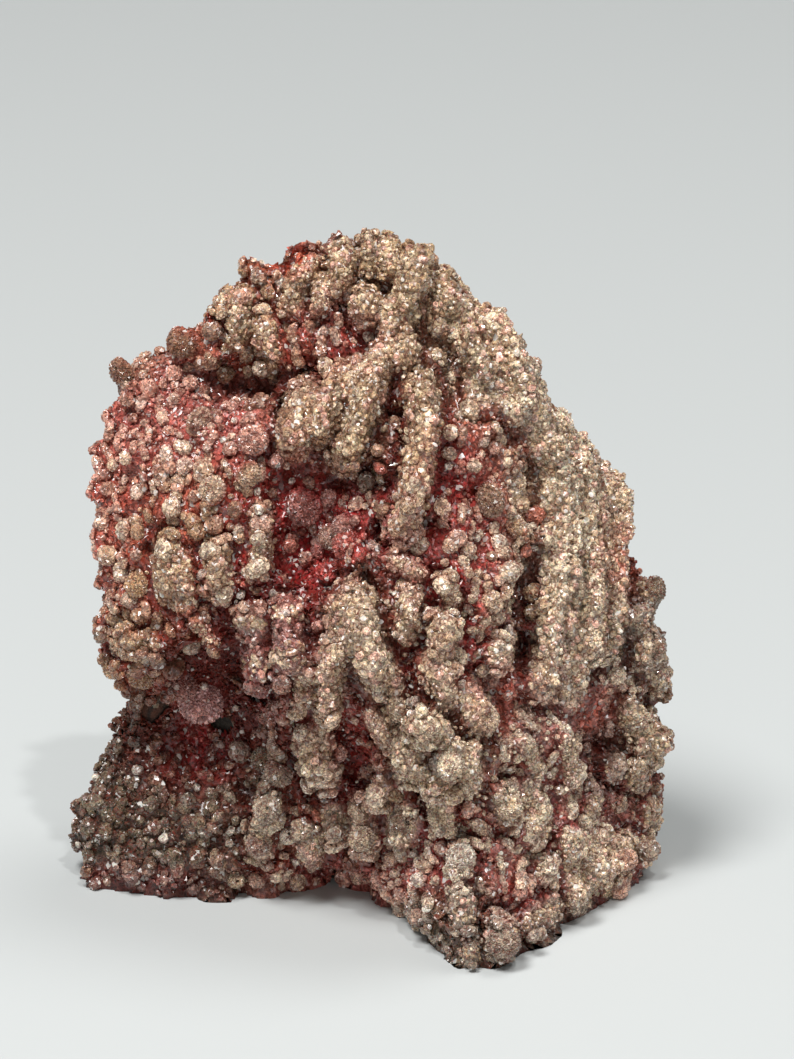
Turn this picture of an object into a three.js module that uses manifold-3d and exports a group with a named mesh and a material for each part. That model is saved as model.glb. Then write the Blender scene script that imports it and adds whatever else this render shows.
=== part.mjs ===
// Botryoidal chalcedony on matrix: a palm-sized stone that stands on its broken-flat base.
// A crust of red-brown chalcedony, grown into beads and finger-like rods, caps the front, top and
// sides of a dark matrix rock. The rock shows at the back, underneath, and in one bare patch low
// on the left. Millimetres, +Z up, front towards -Y, origin on the floor under the middle.

import * as THREE from "three";
import { mergeVertices } from "three/addons/utils/BufferGeometryUtils.js";
import { ConvexHull } from "three/addons/math/ConvexHull.js";
import { ImprovedNoise } from "three/addons/math/ImprovedNoise.js";
import Module from "manifold-3d";

const wasm = await Module();
wasm.setup();

// Driving dimensions
const LEAN = THREE.MathUtils.degToRad(20); // the face is described on a plane leaning back this far
const CRUST_THICKNESS = 6;
const CRUST_WRAP = 7; // how far the crust runs behind the widest outline
const CRUST_WALL = 0.75; // thickness at the widest outline, as a share of the usual
const CRUST_EDGE = 2.4; // thickness of the crust's broken edge at the back
const CRUST_TAPER = 2; // how soon it thins to that, behind the widest outline
const RIM_SETBACK = 2; // the rock is widest this far behind where the crust is
const BEAD_ALLOWANCE = 1.2; // the bead tops stand this far outside the bare crust
const BASE_DEPTH = 19.5; // from the middle of the floor back to the broken rear of the rock
const REAR_SLOPE = 0.1; // the rear leans forwards by this much per millimetre of height
const PARTING = 0.35; // gap between the crust and the rock it sits on
const FLOOR_BLEND = 6; // below this height the rock runs straight down through the floor
const FRONT_SQUARENESS = 2.7; // 2 is an ellipsoid, more is fuller towards the edge
const REAR_SQUARENESS = 3.4;
const SKIN_RIPPLE = { height: 0.7, size: 6 };
const EDGE_RIPPLE = { height: 1.6, size: 7 };
const ROCK_ROUGHNESS = { height: 1.7, size: 8 };
const ROCK_DETAIL = 5;
const OUTLINE_STEPS = 12; // from one outline point to the next
const SLAB = 200;

// Beads: a round cap on a ring of facets, with a crease between each bead and the next
const DOME_HEIGHT = 1; // of the bead's radius
const RING_SHARE = 0.62; // the ring of facets lies this far out from the middle to the crease
const RING_HEIGHT = Math.sqrt(1 - RING_SHARE ** 2); // of the cap's height
const DENT = 0.14;
const NAMED_SPACING = 0.7; // closest that two beads come, as a share of their radii together
const FILL_SPACING = 0.93;
const FILL = { tries: 12000, least: 1.75, most: 2.4, seed: 7 };
const FLIP_SWEEPS = 20;
const FLIP_MARGIN = 0.01; // an edge is left alone within this angle of suiting the skin
const PROBE = 0.04; // how far from a bead's direction its skin is felt for its slope
const SLANTING = new THREE.Vector3(0.3, 0.5, 0.81); // crossed with a direction to get one beside it

// Rods: turned profiles with a swelling at every other ring, bent along the skin
const ROD_SIDES = 6;
const ROD_STAND = 0.95; // height of a rod's axis above the skin, in radii
const ROD_RING = 1.6; // from one ring of a rod to the next, in radii
const ROD_WAIST = 0.84; // radius of the rings between swellings, and of the ends
const ROD_END = 0.62;
const ROD_SWELLING = 1.12;
const ROD_TIP = 0.35; // length of a rod's rounded end, in rings
const UNDER_ROD = 0.3; // height of the beads that a rod lies on, as a share of the usual
const BEHIND_RIM = { from: -0.12, radius: 3.2, height: 1.2, hiddenFrom: -0.8, hiddenRadius: 6 };

// Face coordinates: x to the right, y up the leaning face, z out of it towards the viewer,
// measured from the floor point under the middle of the face.
const HUB = [0, 30.4];

// The widest outline of the stone, clockwise from the top: x, y and how far forward it lies.
// Along the bottom it runs just under the floor, where the stone is cut off flat.
const OUTLINE = [
  [1.2, 66.8, 20], [5.5, 65.6, 20], [9.4, 61.6, 19], [12.8, 58.2, 18], [15.6, 54.2, 17],
  [18.3, 51.6, 16], [21.7, 47.6, 12], [24.4, 44.2, 10], [25.9, 39.4, 8], [26.9, 34.4, 6],
  [28.4, 29.6, 4], [29.6, 26.5, 3.5], [30.2, 21.4, 2], [29.2, 17.6, 1.5], [30.6, 15.2, 1],
  [29.4, 12, 0], [29.3, 7.4, -4], [29.2, 2.4, -7.6], [26.8, -0.6, -2], [22.9, -3, 4.4],
  [18.6, -4.6, 8.4], [15.4, -6.6, 14.2], [13.2, -8.2, 18.2], [10.5, -8.8, 19.6], [7.6, -7, 15],
  [5.8, -5, 9.5], [4.8, -3.3, 5.4], [2.2, -2.2, 1.8], [-0.6, -0.9, -2], [-3.2, 0.2, -5.2],
  [-6.4, -0.3, -3], [-9.4, -1.2, -0.6], [-13.4, -1.7, 0.6], [-23.4, -1.9, 1.2], [-29.4, -0.9, -1.4],
  [-31, 2.2, -1.4], [-31.3, 6.4, 0], [-30.9, 9.2, 1], [-28, 11.6, 2], [-27.5, 14.9, 3],
  [-26.9, 17, 4], [-25.1, 18.8, 6], [-27, 20.8, 9], [-27.8, 23.9, 10], [-28.1, 28.4, 11],
  [-28.5, 33.4, 12], [-28.9, 39.4, 12], [-28.5, 44.4, 12], [-26.9, 48.2, 12], [-26.5, 51.6, 12],
  [-24.3, 54, 13], [-20.8, 54.4, 13], [-19.9, 56.4, 15], [-16.9, 59.2, 16], [-13.5, 63.2, 17],
  [-9.8, 64.8, 18], [-4.3, 66.4, 19],
];

// Broad form of the face: x, y and how far forward it stands there.
const FORM_REACH = 6.5;
const FORM = [
  [1, 62, 25], [10.6, 57.4, 24], [-7.3, 59.4, 23], [-15.3, 56.4, 20], [4.6, 45.4, 30],
  [16.6, 44.4, 22], [22.6, 39.4, 13], [-5.3, 47.4, 27], [-17.3, 41.4, 25], [-25.3, 41.4, 20],
  [-7.3, 35.4, 25], [2.6, 30.4, 28], [12.6, 30.4, 26], [20.6, 27.4, 18], [25.6, 25.4, 10],
  [-19.3, 27.4, 25], [-26.3, 25.4, 18], [-8.3, 24.4, 25], [0, 24.4, 28], [7.6, 15.4, 26],
  [17.6, 15.4, 20], [25.6, 13.4, 8], [-23.3, 15.4, 6], [-26.3, 5.4, 7], [-17.3, 5.4, 9],
  [-7.3, 11.4, 15], [-4.3, 4.4, 11], [2.6, 6.4, 18], [10.6, 1.4, 23], [18.6, 4.4, 15],
  [25.6, 5.4, 5], [10.6, -5, 21.5], [-14, 0, 6],
];

// Local swells and hollows: name, x, y, height, half width and half height of the spot.
const RELIEF = [
  ["crevice under the upper left shoulder", -12, 50.2, -8, 4.6, 1.8],
  ["ledge above the left lobe", -20, 49.5, -2.5, 5, 1.3],
  ["red valley in the middle", -6.5, 35.4, -6, 3, 6],
  ["red hollow right of the hanging rods", 8.5, 41, -3, 2.2, 3.4],
  ["red trough between the lower bosses", -1.8, 15.8, -3.5, 1.8, 4.4],
  ["hollow under the broad boss", 5, 7.4, -3.5, 4, 1.4],
  ["red patch below the bead cluster", 12.6, 20.4, -2.5, 2.4, 1.6],
  ["cave under the left lobe", -14.5, 19.6, -10, 3.4, 5.2],
  ["cave floor towards the middle", -11.5, 13, -3, 2.6, 3],
  ["slot beside the right ridges", 14.9, 28, -5.5, 1.3, 5],
  ["pocket low on the right", 23.6, 14.6, -7, 1.6, 3],
  ["gap between the hanging rods", -1, 41.5, -4, 1.6, 4],
  ["undercut below the shoulder rods", 7.5, 50.8, -3, 3.4, 1],
  ["broad boss", 6.4, 15.4, 4, 3.6, 3.8],
  ["pale boss", -0.9, 26, 3, 2.2, 4.6],
  ["twin boss", -9, 26, 2.6, 3, 4],
  ["hanging brow", -4.6, 46.4, 3, 4.2, 3],
  ["left lobe", -19, 33, 2, 7, 8],
];

// The bare patch of rock low on the left: where the crust thins away to nothing.
const BARE_PATCH = { x: -25.4, y: 16, halfWidth: 3.8, halfHeight: 3.2, share: 1.45 };

// Flat breaks across the rear of the rock: the outward direction as it stands, and the distance
// from a point half way up the stone, over the middle of the floor.
const BREAKS = [
  { toward: [-0.55, 0.8, 0.12], reach: 24.4 },
  { toward: [0.62, 0.74, -0.05], reach: 23 },
  { toward: [0.1, 0.82, 0.55], reach: 20.5 },
  { toward: [-0.25, 0.93, -0.2], reach: 20.2 },
];

// Rods that lie down the face: radius, then the places they pass, from top to tip.
const RODS = [
  [1.7, [4.6, 64.2], [3.6, 60], [2.9, 57.4]],
  [1.6, [4.6, 50.8], [5.1, 47], [4.4, 42.6], [3.6, 38.4], [2.8, 36.6]],
  [1.5, [1.1, 54.4], [-0.2, 50], [-1.6, 46.4], [-2.9, 43]],
  [1.3, [-3.2, 52], [-4.4, 48.6], [-5.3, 45.8]],
  [1.6, [-6.8, 50], [-7.4, 46.6], [-8, 44.4]],
  [1.2, [-7, 62.6], [-8.2, 58.6]],
  [1.2, [-12.9, 59.6], [-13.7, 55.2]],
  [1.2, [-0.2, 65.6], [-0.4, 62.6]],
  [1.4, [7.2, 61], [6.8, 57]],
  [1.5, [11.4, 58.2], [13, 54.2], [14.4, 49.8], [14.8, 47.8]],
  [1.4, [8.6, 56.4], [10.2, 53], [10.8, 49.8]],
  [1.5, [16.4, 46.8], [18.2, 42.4], [18.6, 37.4], [18.2, 31.4], [17.4, 25.4], [17, 20.6]],
  [1.4, [20.8, 45], [21.4, 38], [21.2, 30], [20.5, 24], [20, 19.8]],
  [1.3, [24, 42.6], [24.4, 36.4], [24.4, 30.4], [23.6, 24]],
  [1.9, [-2, 29.8], [-1.2, 25.6], [0.8, 21.6]],
  [1.2, [3.5, 30.2], [3.5, 26.6]],
  [1.3, [-3.9, 25], [-4.2, 21.4], [-4.6, 18]],
  [1.2, [15.8, 10.6], [16.4, 8.2], [16.4, 5.8]],
  [1.5, [9.6, 20.2], [10.8, 17.8]],
  [1.3, [-15.3, 34.6], [-15.2, 30.6]],
  [1.3, [-20.4, 34.8], [-20.2, 30.4]],
];

// The larger beads: x, y on the face, radius.
const BEADS = [
  [-17.5, 19.6, 2.6], [-5.6, 13.4, 2.4], [4.6, 16.9, 2.4], [7.2, 14.9, 2.4], [26.2, 13.4, 2.4],
  [6.6, 25.9, 2.1], [-12.6, 45.8, 2], [-8.4, 23.9, 2], [5.6, 11.4, 2], [-6.4, 39.4, 1.9],
  [-4.4, 36.4, 1.9], [28, 29.2, 1.9], [27.2, 24.6, 1.9], [11.4, 39.4, 1.8], [-24.8, 52.2, 1.8],
  [-10.8, 27.9, 1.8], [-24.4, 20.4, 1.8], [-14.9, 3.4, 1.8], [28.8, 15, 1.8], [-17, 46.7, 1.7],
  [-16.6, 39.9, 1.7], [-2.4, 37.4, 1.7], [-25.4, 22.9, 1.7], [-22.8, 22.6, 1.7], [29.4, 20.8, 1.7],
  [-4.4, 6.4, 1.7], [-9.9, 12.4, 1.7], [-23.4, 8.4, 1.7], [-27.6, 5.8, 1.7], [27.8, 11.6, 1.7],
  [-13.4, 42.2, 1.6], [0.6, 38.9, 1.6], [-20.4, 24.4, 1.6], [-11.3, 8.4, 1.6], [8.7, 12.9, 1.6],
  [2.6, 5.4, 1.6], [-18.8, 55.9, 1.5], [-20.2, 38.6, 1.5], [12.3, 23.9, 1.5], [16.1, 28.9, 1.5],
  [7.1, 22.4, 1.5], [13.4, 8.9, 1.5], [28.6, 4, 1.5], [-21.4, 4.6, 1.5], [-24.8, 2.8, 1.5],
];

// Small helpers: noise, repeatable random numbers and bell-shaped weights
const noise = new ImprovedNoise();
const { clamp, lerp } = THREE.MathUtils;

function rippleAt(x, y, layer, { height, size }) {
  const coarse = noise.noise(x / size, y / size, layer);
  const fine = noise.noise((2.3 * x) / size, (2.3 * y) / size, layer + 0.5);
  return height * (coarse + 0.5 * fine);
}

function randomFrom(seed) {
  let state = seed;
  return () => {
    state = (state * 1664525 + 1013904223) % 4294967296;
    return state / 4294967296;
  };
}

const shake = randomFrom(41);

function bell(across, up) {
  return Math.exp(-(across * across + up * up));
}

// The outline as a closed curve, and its point at any angle round the hub
const outlineCurve = new THREE.CatmullRomCurve3(
  OUTLINE.map(([x, y, z]) => new THREE.Vector3(x, y, z)),
  true,
  "centripetal",
);
const outlinePoints = outlineCurve.getPoints(OUTLINE_STEPS * OUTLINE.length);

function outlineAt(angle) {
  const ray = new THREE.Vector2(Math.cos(angle), Math.sin(angle));
  let best = null;
  for (let i = 0; i < outlinePoints.length - 1; i++) {
    const a = outlinePoints[i];
    const b = outlinePoints[i + 1];
    const sideA = (a.x - HUB[0]) * ray.y - (a.y - HUB[1]) * ray.x;
    const sideB = (b.x - HUB[0]) * ray.y - (b.y - HUB[1]) * ray.x;
    if (sideA * sideB > 0 || sideA === sideB) continue;
    const hit = a.clone().lerp(b, sideA / (sideA - sideB));
    const reach = (hit.x - HUB[0]) * ray.x + (hit.y - HUB[1]) * ray.y;
    if (reach > 0 && (!best || reach > best.reach)) best = { reach, forward: hit.z };
  }
  return best;
}

// How far forward the face stands at a place on it
function faceForward(x, y) {
  let sum = 0;
  let weights = 0;
  for (const [fx, fy, forward] of FORM) {
    const weight = bell((x - fx) / FORM_REACH, (y - fy) / FORM_REACH);
    sum += weight * forward;
    weights += weight;
  }
  let forward = sum / weights;
  for (const [, rx, ry, height, halfWidth, halfHeight] of RELIEF)
    forward += height * bell((x - rx) / halfWidth, (y - ry) / halfHeight);
  return forward;
}

// How far forward the broken rear of the rock lies, so that it stands nearly upright
function rearForward(y) {
  const back = BASE_DEPTH - REAR_SLOPE * y;
  return (y * Math.sin(LEAN) - back) / Math.cos(LEAN);
}

function heightOf(y, forward) {
  return y * Math.cos(LEAN) + forward * Math.sin(LEAN);
}

function crustThickness(x, y) {
  const { x: bx, y: by, halfWidth, halfHeight, share } = BARE_PATCH;
  return CRUST_THICKNESS * (1 - share * bell((x - bx) / halfWidth, (y - by) / halfHeight));
}

// Where a direction from the hub meets a squared ellipsoid: how far out along the face, how far
// up towards the front or down towards the rear, and the outline it passes
function spread({ x, y, z }) {
  const squareness = z >= 0 ? FRONT_SQUARENESS : REAR_SQUARENESS;
  const angle = Math.atan2(y, x);
  return {
    angle,
    share: Math.hypot(x, y) ** (2 / squareness),
    rise: Math.abs(z) ** (2 / squareness),
    rim: outlineAt(angle),
  };
}

// A point of the crust's bare skin in face coordinates, for a unit direction
function crustSkin(direction) {
  const { angle, share, rise, rim } = spread(direction);
  const reach = (rim.reach - BEAD_ALLOWANCE) * share;
  const px = HUB[0] + reach * Math.cos(angle);
  const py = HUB[1] + reach * Math.sin(angle);
  const far =
    direction.z >= 0
      ? faceForward(px, py) - BEAD_ALLOWANCE + rippleAt(px, py, 0.2, SKIN_RIPPLE)
      : rim.forward - CRUST_WRAP + rippleAt(px, py, 1.4, EDGE_RIPPLE);
  return new THREE.Vector3(px, py, rim.forward + (far - rim.forward) * rise);
}

// A point of the rock's skin. It follows the face at the depth of the crust, comes close to the
// crust's edge at the back, and runs straight down through the floor at the bottom.
function rockSkin(direction) {
  const { angle, share, rise, rim } = spread(direction);
  const rimX = HUB[0] + rim.reach * Math.cos(angle);
  const rimY = HUB[1] + rim.reach * Math.sin(angle);
  const nearFloor = 1 - clamp(heightOf(rimY, rim.forward) / FLOOR_BLEND, 0, 1);
  const thickness = crustThickness(rimX, rimY);
  const towardsEdge = clamp(-CRUST_TAPER * direction.z, 0, 1);
  const wall = lerp(CRUST_WALL * thickness, Math.min(CRUST_EDGE, thickness), towardsEdge);
  const reach = (rim.reach - wall * (1 - nearFloor)) * share;
  const px = HUB[0] + reach * Math.cos(angle);
  const py = HUB[1] + reach * Math.sin(angle);
  const rimForward = rim.forward - lerp(RIM_SETBACK, thickness, nearFloor);
  const far =
    direction.z >= 0
      ? faceForward(px, py) - crustThickness(px, py)
      : rearForward(py) + rippleAt(px, py, 2.3, ROCK_ROUGHNESS);
  return new THREE.Vector3(px, py, rimForward + (far - rimForward) * rise);
}

// From face coordinates to the standing stone
const standUp = new THREE.Matrix4().makeRotationX(Math.PI / 2 - LEAN);

function bareAndMerged(geometry) {
  const bare = geometry.clone();
  bare.deleteAttribute("normal");
  bare.deleteAttribute("uv");
  return mergeVertices(bare, 1e-4);
}

function solidOf(geometry) {
  const merged = bareAndMerged(geometry);
  return new wasm.Manifold(
    new wasm.Mesh({
      numProp: 3,
      vertProperties: merged.attributes.position.array,
      triVerts: new Uint32Array(merged.index.array),
    }),
  );
}

// Where a direction from the hub meets the crust's skin, and which way the skin faces there
function seatAt(direction) {
  const point = crustSkin(direction);
  const aside = SLANTING.clone().cross(direction).normalize();
  const along = direction.clone().cross(aside);
  const edgeA = crustSkin(direction.clone().addScaledVector(aside, PROBE).normalize()).sub(point);
  const edgeB = crustSkin(direction.clone().addScaledVector(along, PROBE).normalize()).sub(point);
  const outward = edgeA.cross(edgeB).normalize();
  if (outward.dot(direction) < 0) outward.negate();
  return { point, outward };
}

// The direction from the hub whose skin point lies at a place on the face
function directionTo(x, y) {
  const angle = Math.atan2(y - HUB[1], x - HUB[0]);
  const reach = outlineAt(angle).reach - BEAD_ALLOWANCE;
  const share = Math.min(Math.hypot(x - HUB[0], y - HUB[1]) / reach, 1);
  const flat = share ** (FRONT_SQUARENESS / 2);
  return new THREE.Vector3(
    flat * Math.cos(angle),
    flat * Math.sin(angle),
    Math.sqrt(1 - flat * flat),
  );
}

// The rods' routes: a smooth path that keeps the same height above the skin all along
const rods = RODS.map(([radius, ...places]) => {
  const seats = places.map(([x, y]) => seatAt(directionTo(x, y)));
  const path = new THREE.CatmullRomCurve3(
    seats.map(({ point, outward }) => point.clone().addScaledVector(outward, ROD_STAND * radius)),
  );
  const rings = Math.max(3, Math.round(path.getLength() / (ROD_RING * radius)));
  const { outward } = seats[Math.floor(seats.length / 2)];
  return { radius, path, rings, outward, spots: path.getSpacedPoints(rings) };
});

// The beads of the whole crust: the larger single ones, and enough between and behind them to
// cover it, each tried at random and kept where there is room
function gatherBeads() {
  const beads = [];
  const place = (direction, radius, spacing, height = DOME_HEIGHT * radius) => {
    const seat = seatAt(direction);
    const near = (spot, reach) => spot.distanceTo(seat.point) < reach;
    if (beads.some((bead) => near(bead.point, spacing * (bead.radius + radius)))) return;
    const underRod = rods.some((rod) => rod.spots.some((spot) => near(spot, rod.radius + radius)));
    beads.push({ direction, radius, height: underRod ? UNDER_ROD * height : height, ...seat });
  };
  for (const [x, y, radius] of BEADS) place(directionTo(x, y), radius, NAMED_SPACING);
  const random = randomFrom(FILL.seed);
  for (let i = 0; i < FILL.tries; i++) {
    const z = 2 * random() - 1;
    const flat = Math.sqrt(1 - z * z);
    const angle = 2 * Math.PI * random();
    const radius = FILL.least + (FILL.most - FILL.least) * random() ** 2;
    const direction = new THREE.Vector3(flat * Math.cos(angle), flat * Math.sin(angle), z);
    if (z > BEHIND_RIM.from) place(direction, radius, FILL_SPACING);
    else if (z > BEHIND_RIM.hiddenFrom)
      place(direction, BEHIND_RIM.radius, FILL_SPACING, BEHIND_RIM.height);
    else place(direction, BEHIND_RIM.hiddenRadius, FILL_SPACING, 0);
  }
  return beads;
}

// Triangles that join each bead to its neighbours, anticlockwise seen from outside: first those
// of the hull of all the directions, then edges are flipped until each suits the skin itself
function neighbourTriangles(beads) {
  const hull = new ConvexHull().setFromPoints(beads.map(({ direction }) => direction));
  const beadOf = new Map(beads.map((bead) => [bead.direction, bead]));
  const triangles = hull.faces.map(({ edge }) =>
    [edge, edge.next, edge.next.next].map((side) => beadOf.get(side.head().point)),
  );
  const number = new Map(beads.map((bead, i) => [bead, i]));
  const keyOf = (a, b) => [number.get(a), number.get(b)].sort((m, n) => m - n).join();
  for (let sweep = 0; sweep < FLIP_SWEEPS; sweep++) {
    const sides = new Map();
    for (const triangle of triangles)
      triangle.forEach((a, i) => {
        const key = keyOf(a, triangle[(i + 1) % 3]);
        sides.set(key, [...(sides.get(key) ?? []), { triangle, i }]);
      });
    const moved = new Set();
    for (const [first, second] of [...sides.values()]) {
      if (moved.has(first.triangle) || moved.has(second.triangle)) continue;
      const [a, b, c] = [0, 1, 2].map((k) => first.triangle[(first.i + k) % 3]);
      const d = second.triangle[(second.i + 2) % 3];
      const suits = angleAt(c, a, b) + angleAt(d, a, b) < Math.PI + FLIP_MARGIN;
      if (suits || sides.has(keyOf(c, d))) continue;
      first.triangle.splice(0, 3, a, d, c);
      second.triangle.splice(0, 3, d, b, c);
      sides.set(keyOf(c, d), []);
      moved.add(first.triangle).add(second.triangle);
    }
    if (moved.size === 0) break;
  }
  return triangles;
}

function angleAt(corner, a, b) {
  return a.point.clone().sub(corner.point).angleTo(b.point.clone().sub(corner.point));
}

function meanOf(vectors) {
  return vectors.reduce((sum, v) => sum.add(v), new THREE.Vector3()).divideScalar(vectors.length);
}

function creasesInOrder(corners) {
  const order = [];
  let [neighbour] = corners.keys();
  while (order.length < corners.size) {
    const { crease, next } = corners.get(neighbour);
    order.push(crease);
    neighbour = next;
  }
  return order;
}

// The beaded body of the crust. Neighbouring beads share the crease points between them, which
// lie on the skin, and every bead rises from its own creases to a ring of facets and a cap.
function beadedBody(beads) {
  const cells = new Map(beads.map((bead) => [bead, new Map()]));
  const places = [];
  const triangles = [];
  for (const round of neighbourTriangles(beads)) {
    const between = meanOf(round.map(({ direction }) => direction)).normalize();
    const crease = places.push(crustSkin(between)) - 1;
    round.forEach((bead, i) => {
      cells.get(bead).set(round[(i + 1) % 3], { crease, next: round[(i + 2) % 3] });
    });
  }
  for (const [{ point, outward, height }, corners] of cells) {
    const cap = places.push(point.clone().addScaledVector(outward, height)) - 1;
    const creases = creasesInOrder(corners);
    const ring = creases.map((crease) => {
      const dent = 1 + DENT * (2 * shake() - 1);
      const place = point.clone().lerp(places[crease], RING_SHARE * dent);
      return places.push(place.addScaledVector(outward, RING_HEIGHT * height * dent)) - 1;
    });
    creases.forEach((crease, i) => {
      const following = (i + 1) % creases.length;
      triangles.push(cap, ring[i], ring[following]);
      triangles.push(ring[i], crease, creases[following]);
      triangles.push(ring[i], creases[following], ring[following]);
    });
  }
  const body = new THREE.BufferGeometry().setFromPoints(places);
  body.setIndex(triangles);
  return solidOf(body.applyMatrix4(standUp));
}

// One knobbly rod, dented at random
function rodBody({ radius, path, rings, outward }) {
  const profile = [new THREE.Vector2(0, 0)];
  for (let i = 0; i <= rings; i++) {
    const end = i === 0 || i === rings;
    const width = end ? ROD_END : i % 2 ? ROD_SWELLING : ROD_WAIST;
    profile.push(new THREE.Vector2(width * radius, (i + ROD_TIP) / (rings + 2 * ROD_TIP)));
  }
  profile.push(new THREE.Vector2(0, 1));
  const rod = bareAndMerged(new THREE.LatheGeometry(profile, ROD_SIDES));
  const positions = rod.attributes.position;
  for (let i = 0; i < positions.count; i++) {
    const along = clamp(positions.getY(i), 0, 1);
    const tangent = path.getTangentAt(along);
    const side = tangent.clone().cross(outward).normalize();
    const up = side.clone().cross(tangent);
    const dent = 1 + DENT * (2 * shake() - 1);
    const place = path
      .getPointAt(along)
      .addScaledVector(side, positions.getX(i) * dent)
      .addScaledVector(up, positions.getZ(i) * dent);
    positions.setXYZ(i, ...place.toArray());
  }
  return solidOf(rod.applyMatrix4(standUp));
}

// The rock before its breaks: a fine ball whose every vertex is moved to the rock's skin, and
// then outwards by the amount it is to be grown
function rockBody(grown) {
  const ball = bareAndMerged(new THREE.IcosahedronGeometry(1, ROCK_DETAIL));
  const positions = ball.attributes.position;
  const place = new THREE.Vector3();
  const outward = new THREE.Vector3();
  for (let i = 0; i < positions.count; i++) {
    place.fromBufferAttribute(positions, i).normalize();
    positions.setXYZ(i, ...rockSkin(place).toArray());
  }
  ball.computeVertexNormals();
  for (let i = 0; i < positions.count; i++) {
    outward.fromBufferAttribute(ball.attributes.normal, i);
    place.fromBufferAttribute(positions, i).addScaledVector(outward, grown);
    positions.setXYZ(i, ...place.toArray());
  }
  return solidOf(ball.applyMatrix4(standUp));
}

// A large box that cuts along a plane: the floor, or a flat break behind
function slabBeyond(toward, reach, centre) {
  const box = new THREE.BoxGeometry(SLAB, SLAB, SLAB);
  const outward = new THREE.Vector3(...toward).normalize();
  box.applyQuaternion(
    new THREE.Quaternion().setFromUnitVectors(new THREE.Vector3(0, 0, 1), outward),
  );
  const middle = centre.clone().addScaledVector(outward, reach + SLAB / 2);
  box.translate(middle.x, middle.y, middle.z);
  return solidOf(box);
}

const underFloor = slabBeyond([0, 0, -1], 0, new THREE.Vector3());

// Chips that a cut leaves loose are dropped
function largestPiece(solid) {
  return solid.decompose().reduce((a, b) => (b.volume() > a.volume() ? b : a));
}

// The two pieces
function makeCrust() {
  let crust = beadedBody(gatherBeads());
  for (const rod of rods) crust = crust.add(rodBody(rod));
  return largestPiece(crust.subtract(underFloor).subtract(rockBody(PARTING)));
}

function makeMatrix(crust) {
  const halfWayUp = new THREE.Vector3(0, 0, HUB[1]);
  let rock = rockBody(0).subtract(underFloor).subtract(crust);
  for (const { toward, reach } of BREAKS)
    rock = rock.subtract(slabBeyond(toward, reach, halfWayUp));
  return largestPiece(rock);
}

function meshOf(name, solid, material) {
  const cut = solid.getMesh();
  const geometry = new THREE.BufferGeometry();
  geometry.setAttribute("position", new THREE.BufferAttribute(cut.vertProperties, 3));
  geometry.setIndex(new THREE.BufferAttribute(cut.triVerts, 1));
  const mesh = new THREE.Mesh(geometry, material);
  mesh.name = name;
  return mesh;
}

const chalcedony = new THREE.MeshStandardMaterial({
  color: "#9a6f5e",
  roughness: 0.4,
  metalness: 0,
  flatShading: true,
});
const darkRock = new THREE.MeshStandardMaterial({
  color: "#4a4038",
  roughness: 0.85,
  metalness: 0,
  flatShading: true,
});

// The stone, moved so that the origin is under the middle of its outer box
const crust = makeCrust();
const stone = new THREE.Group();
stone.add(
  meshOf("matrix_rock", makeMatrix(crust), darkRock),
  meshOf("chalcedony_crust", crust, chalcedony),
);
const middle = new THREE.Box3().setFromObject(stone).getCenter(new THREE.Vector3());
stone.position.set(-middle.x, -middle.y, 0);

export default stone;
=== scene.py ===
# %% [markdown]
# A palm-sized stone: a crust of red-brown chalcedony grown over dark rock.
# Chalcedony grows in layers, outward from many points at once, so its surface is a crowd of
# round lumps. Here the lumps came in three sizes. The largest are bosses and finger-like rods
# of 3 to 8 mm, the next are balls of 1 to 2.5 mm, and each ball is coated in quartz points too
# small to pick out one by one, which makes it glitter.
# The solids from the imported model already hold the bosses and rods. This notebook adds what
# comes after them: a finer skin, thousands of balls, and the glassy grains between them.

import math

import bmesh
import bpy
import numpy as np
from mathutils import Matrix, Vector, noise
from mathutils.bvhtree import BVHTree


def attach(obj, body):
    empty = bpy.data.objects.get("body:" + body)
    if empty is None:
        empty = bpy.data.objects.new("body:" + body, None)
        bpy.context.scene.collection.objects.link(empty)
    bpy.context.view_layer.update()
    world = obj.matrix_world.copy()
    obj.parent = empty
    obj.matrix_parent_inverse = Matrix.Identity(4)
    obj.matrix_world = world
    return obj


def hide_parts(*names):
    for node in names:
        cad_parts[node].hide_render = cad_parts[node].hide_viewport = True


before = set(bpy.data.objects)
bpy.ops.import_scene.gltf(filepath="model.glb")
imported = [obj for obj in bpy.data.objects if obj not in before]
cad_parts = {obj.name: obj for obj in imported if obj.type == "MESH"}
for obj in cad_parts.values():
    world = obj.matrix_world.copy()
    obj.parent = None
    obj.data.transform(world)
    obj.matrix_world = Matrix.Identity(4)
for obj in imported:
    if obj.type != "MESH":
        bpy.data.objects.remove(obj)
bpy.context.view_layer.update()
MM = 0.001
print("solids:", sorted(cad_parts))

# %% [markdown]
# The face of the stone leans back by 20 degrees, and the camera looks down on it by the same
# angle. So it is easiest to say where things are on the face itself: x to the right, y up the
# leaning face, and out towards the viewer, in millimetres. Two small functions turn these
# coordinates into places on the standing stone and back.

# %% Face coordinates
LEAN = math.radians(20)
FACE_ORIGIN = np.array([0.638, 1.966, 0.0])
FACE_AXES = np.array(
    [
        [1, 0, 0],
        [0, math.sin(LEAN), math.cos(LEAN)],
        [0, -math.cos(LEAN), math.sin(LEAN)],
    ]
)


def from_face(x, y, out):
    return Vector((np.array([x, y, out]) @ FACE_AXES + FACE_ORIGIN) * MM)


def to_face(places):
    return (np.asarray(places) / MM - FACE_ORIGIN) @ FACE_AXES.T


TOWARDS_VIEWER = Vector(FACE_AXES[2])
print("out of the face:", [round(c, 3) for c in TOWARDS_VIEWER])

# %% [markdown]
# The camera stands well back with a long lens, as a close-up lens on a telephone would be used
# for such a small thing: the picture takes in 79 by 106 mm of the face.

# %% Camera
PICTURE_MIDDLE = (2.35, 36.45, 12)
PICTURE_HEIGHT = 105.9
CAMERA_DISTANCE = 600
SENSOR = 36

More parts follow.
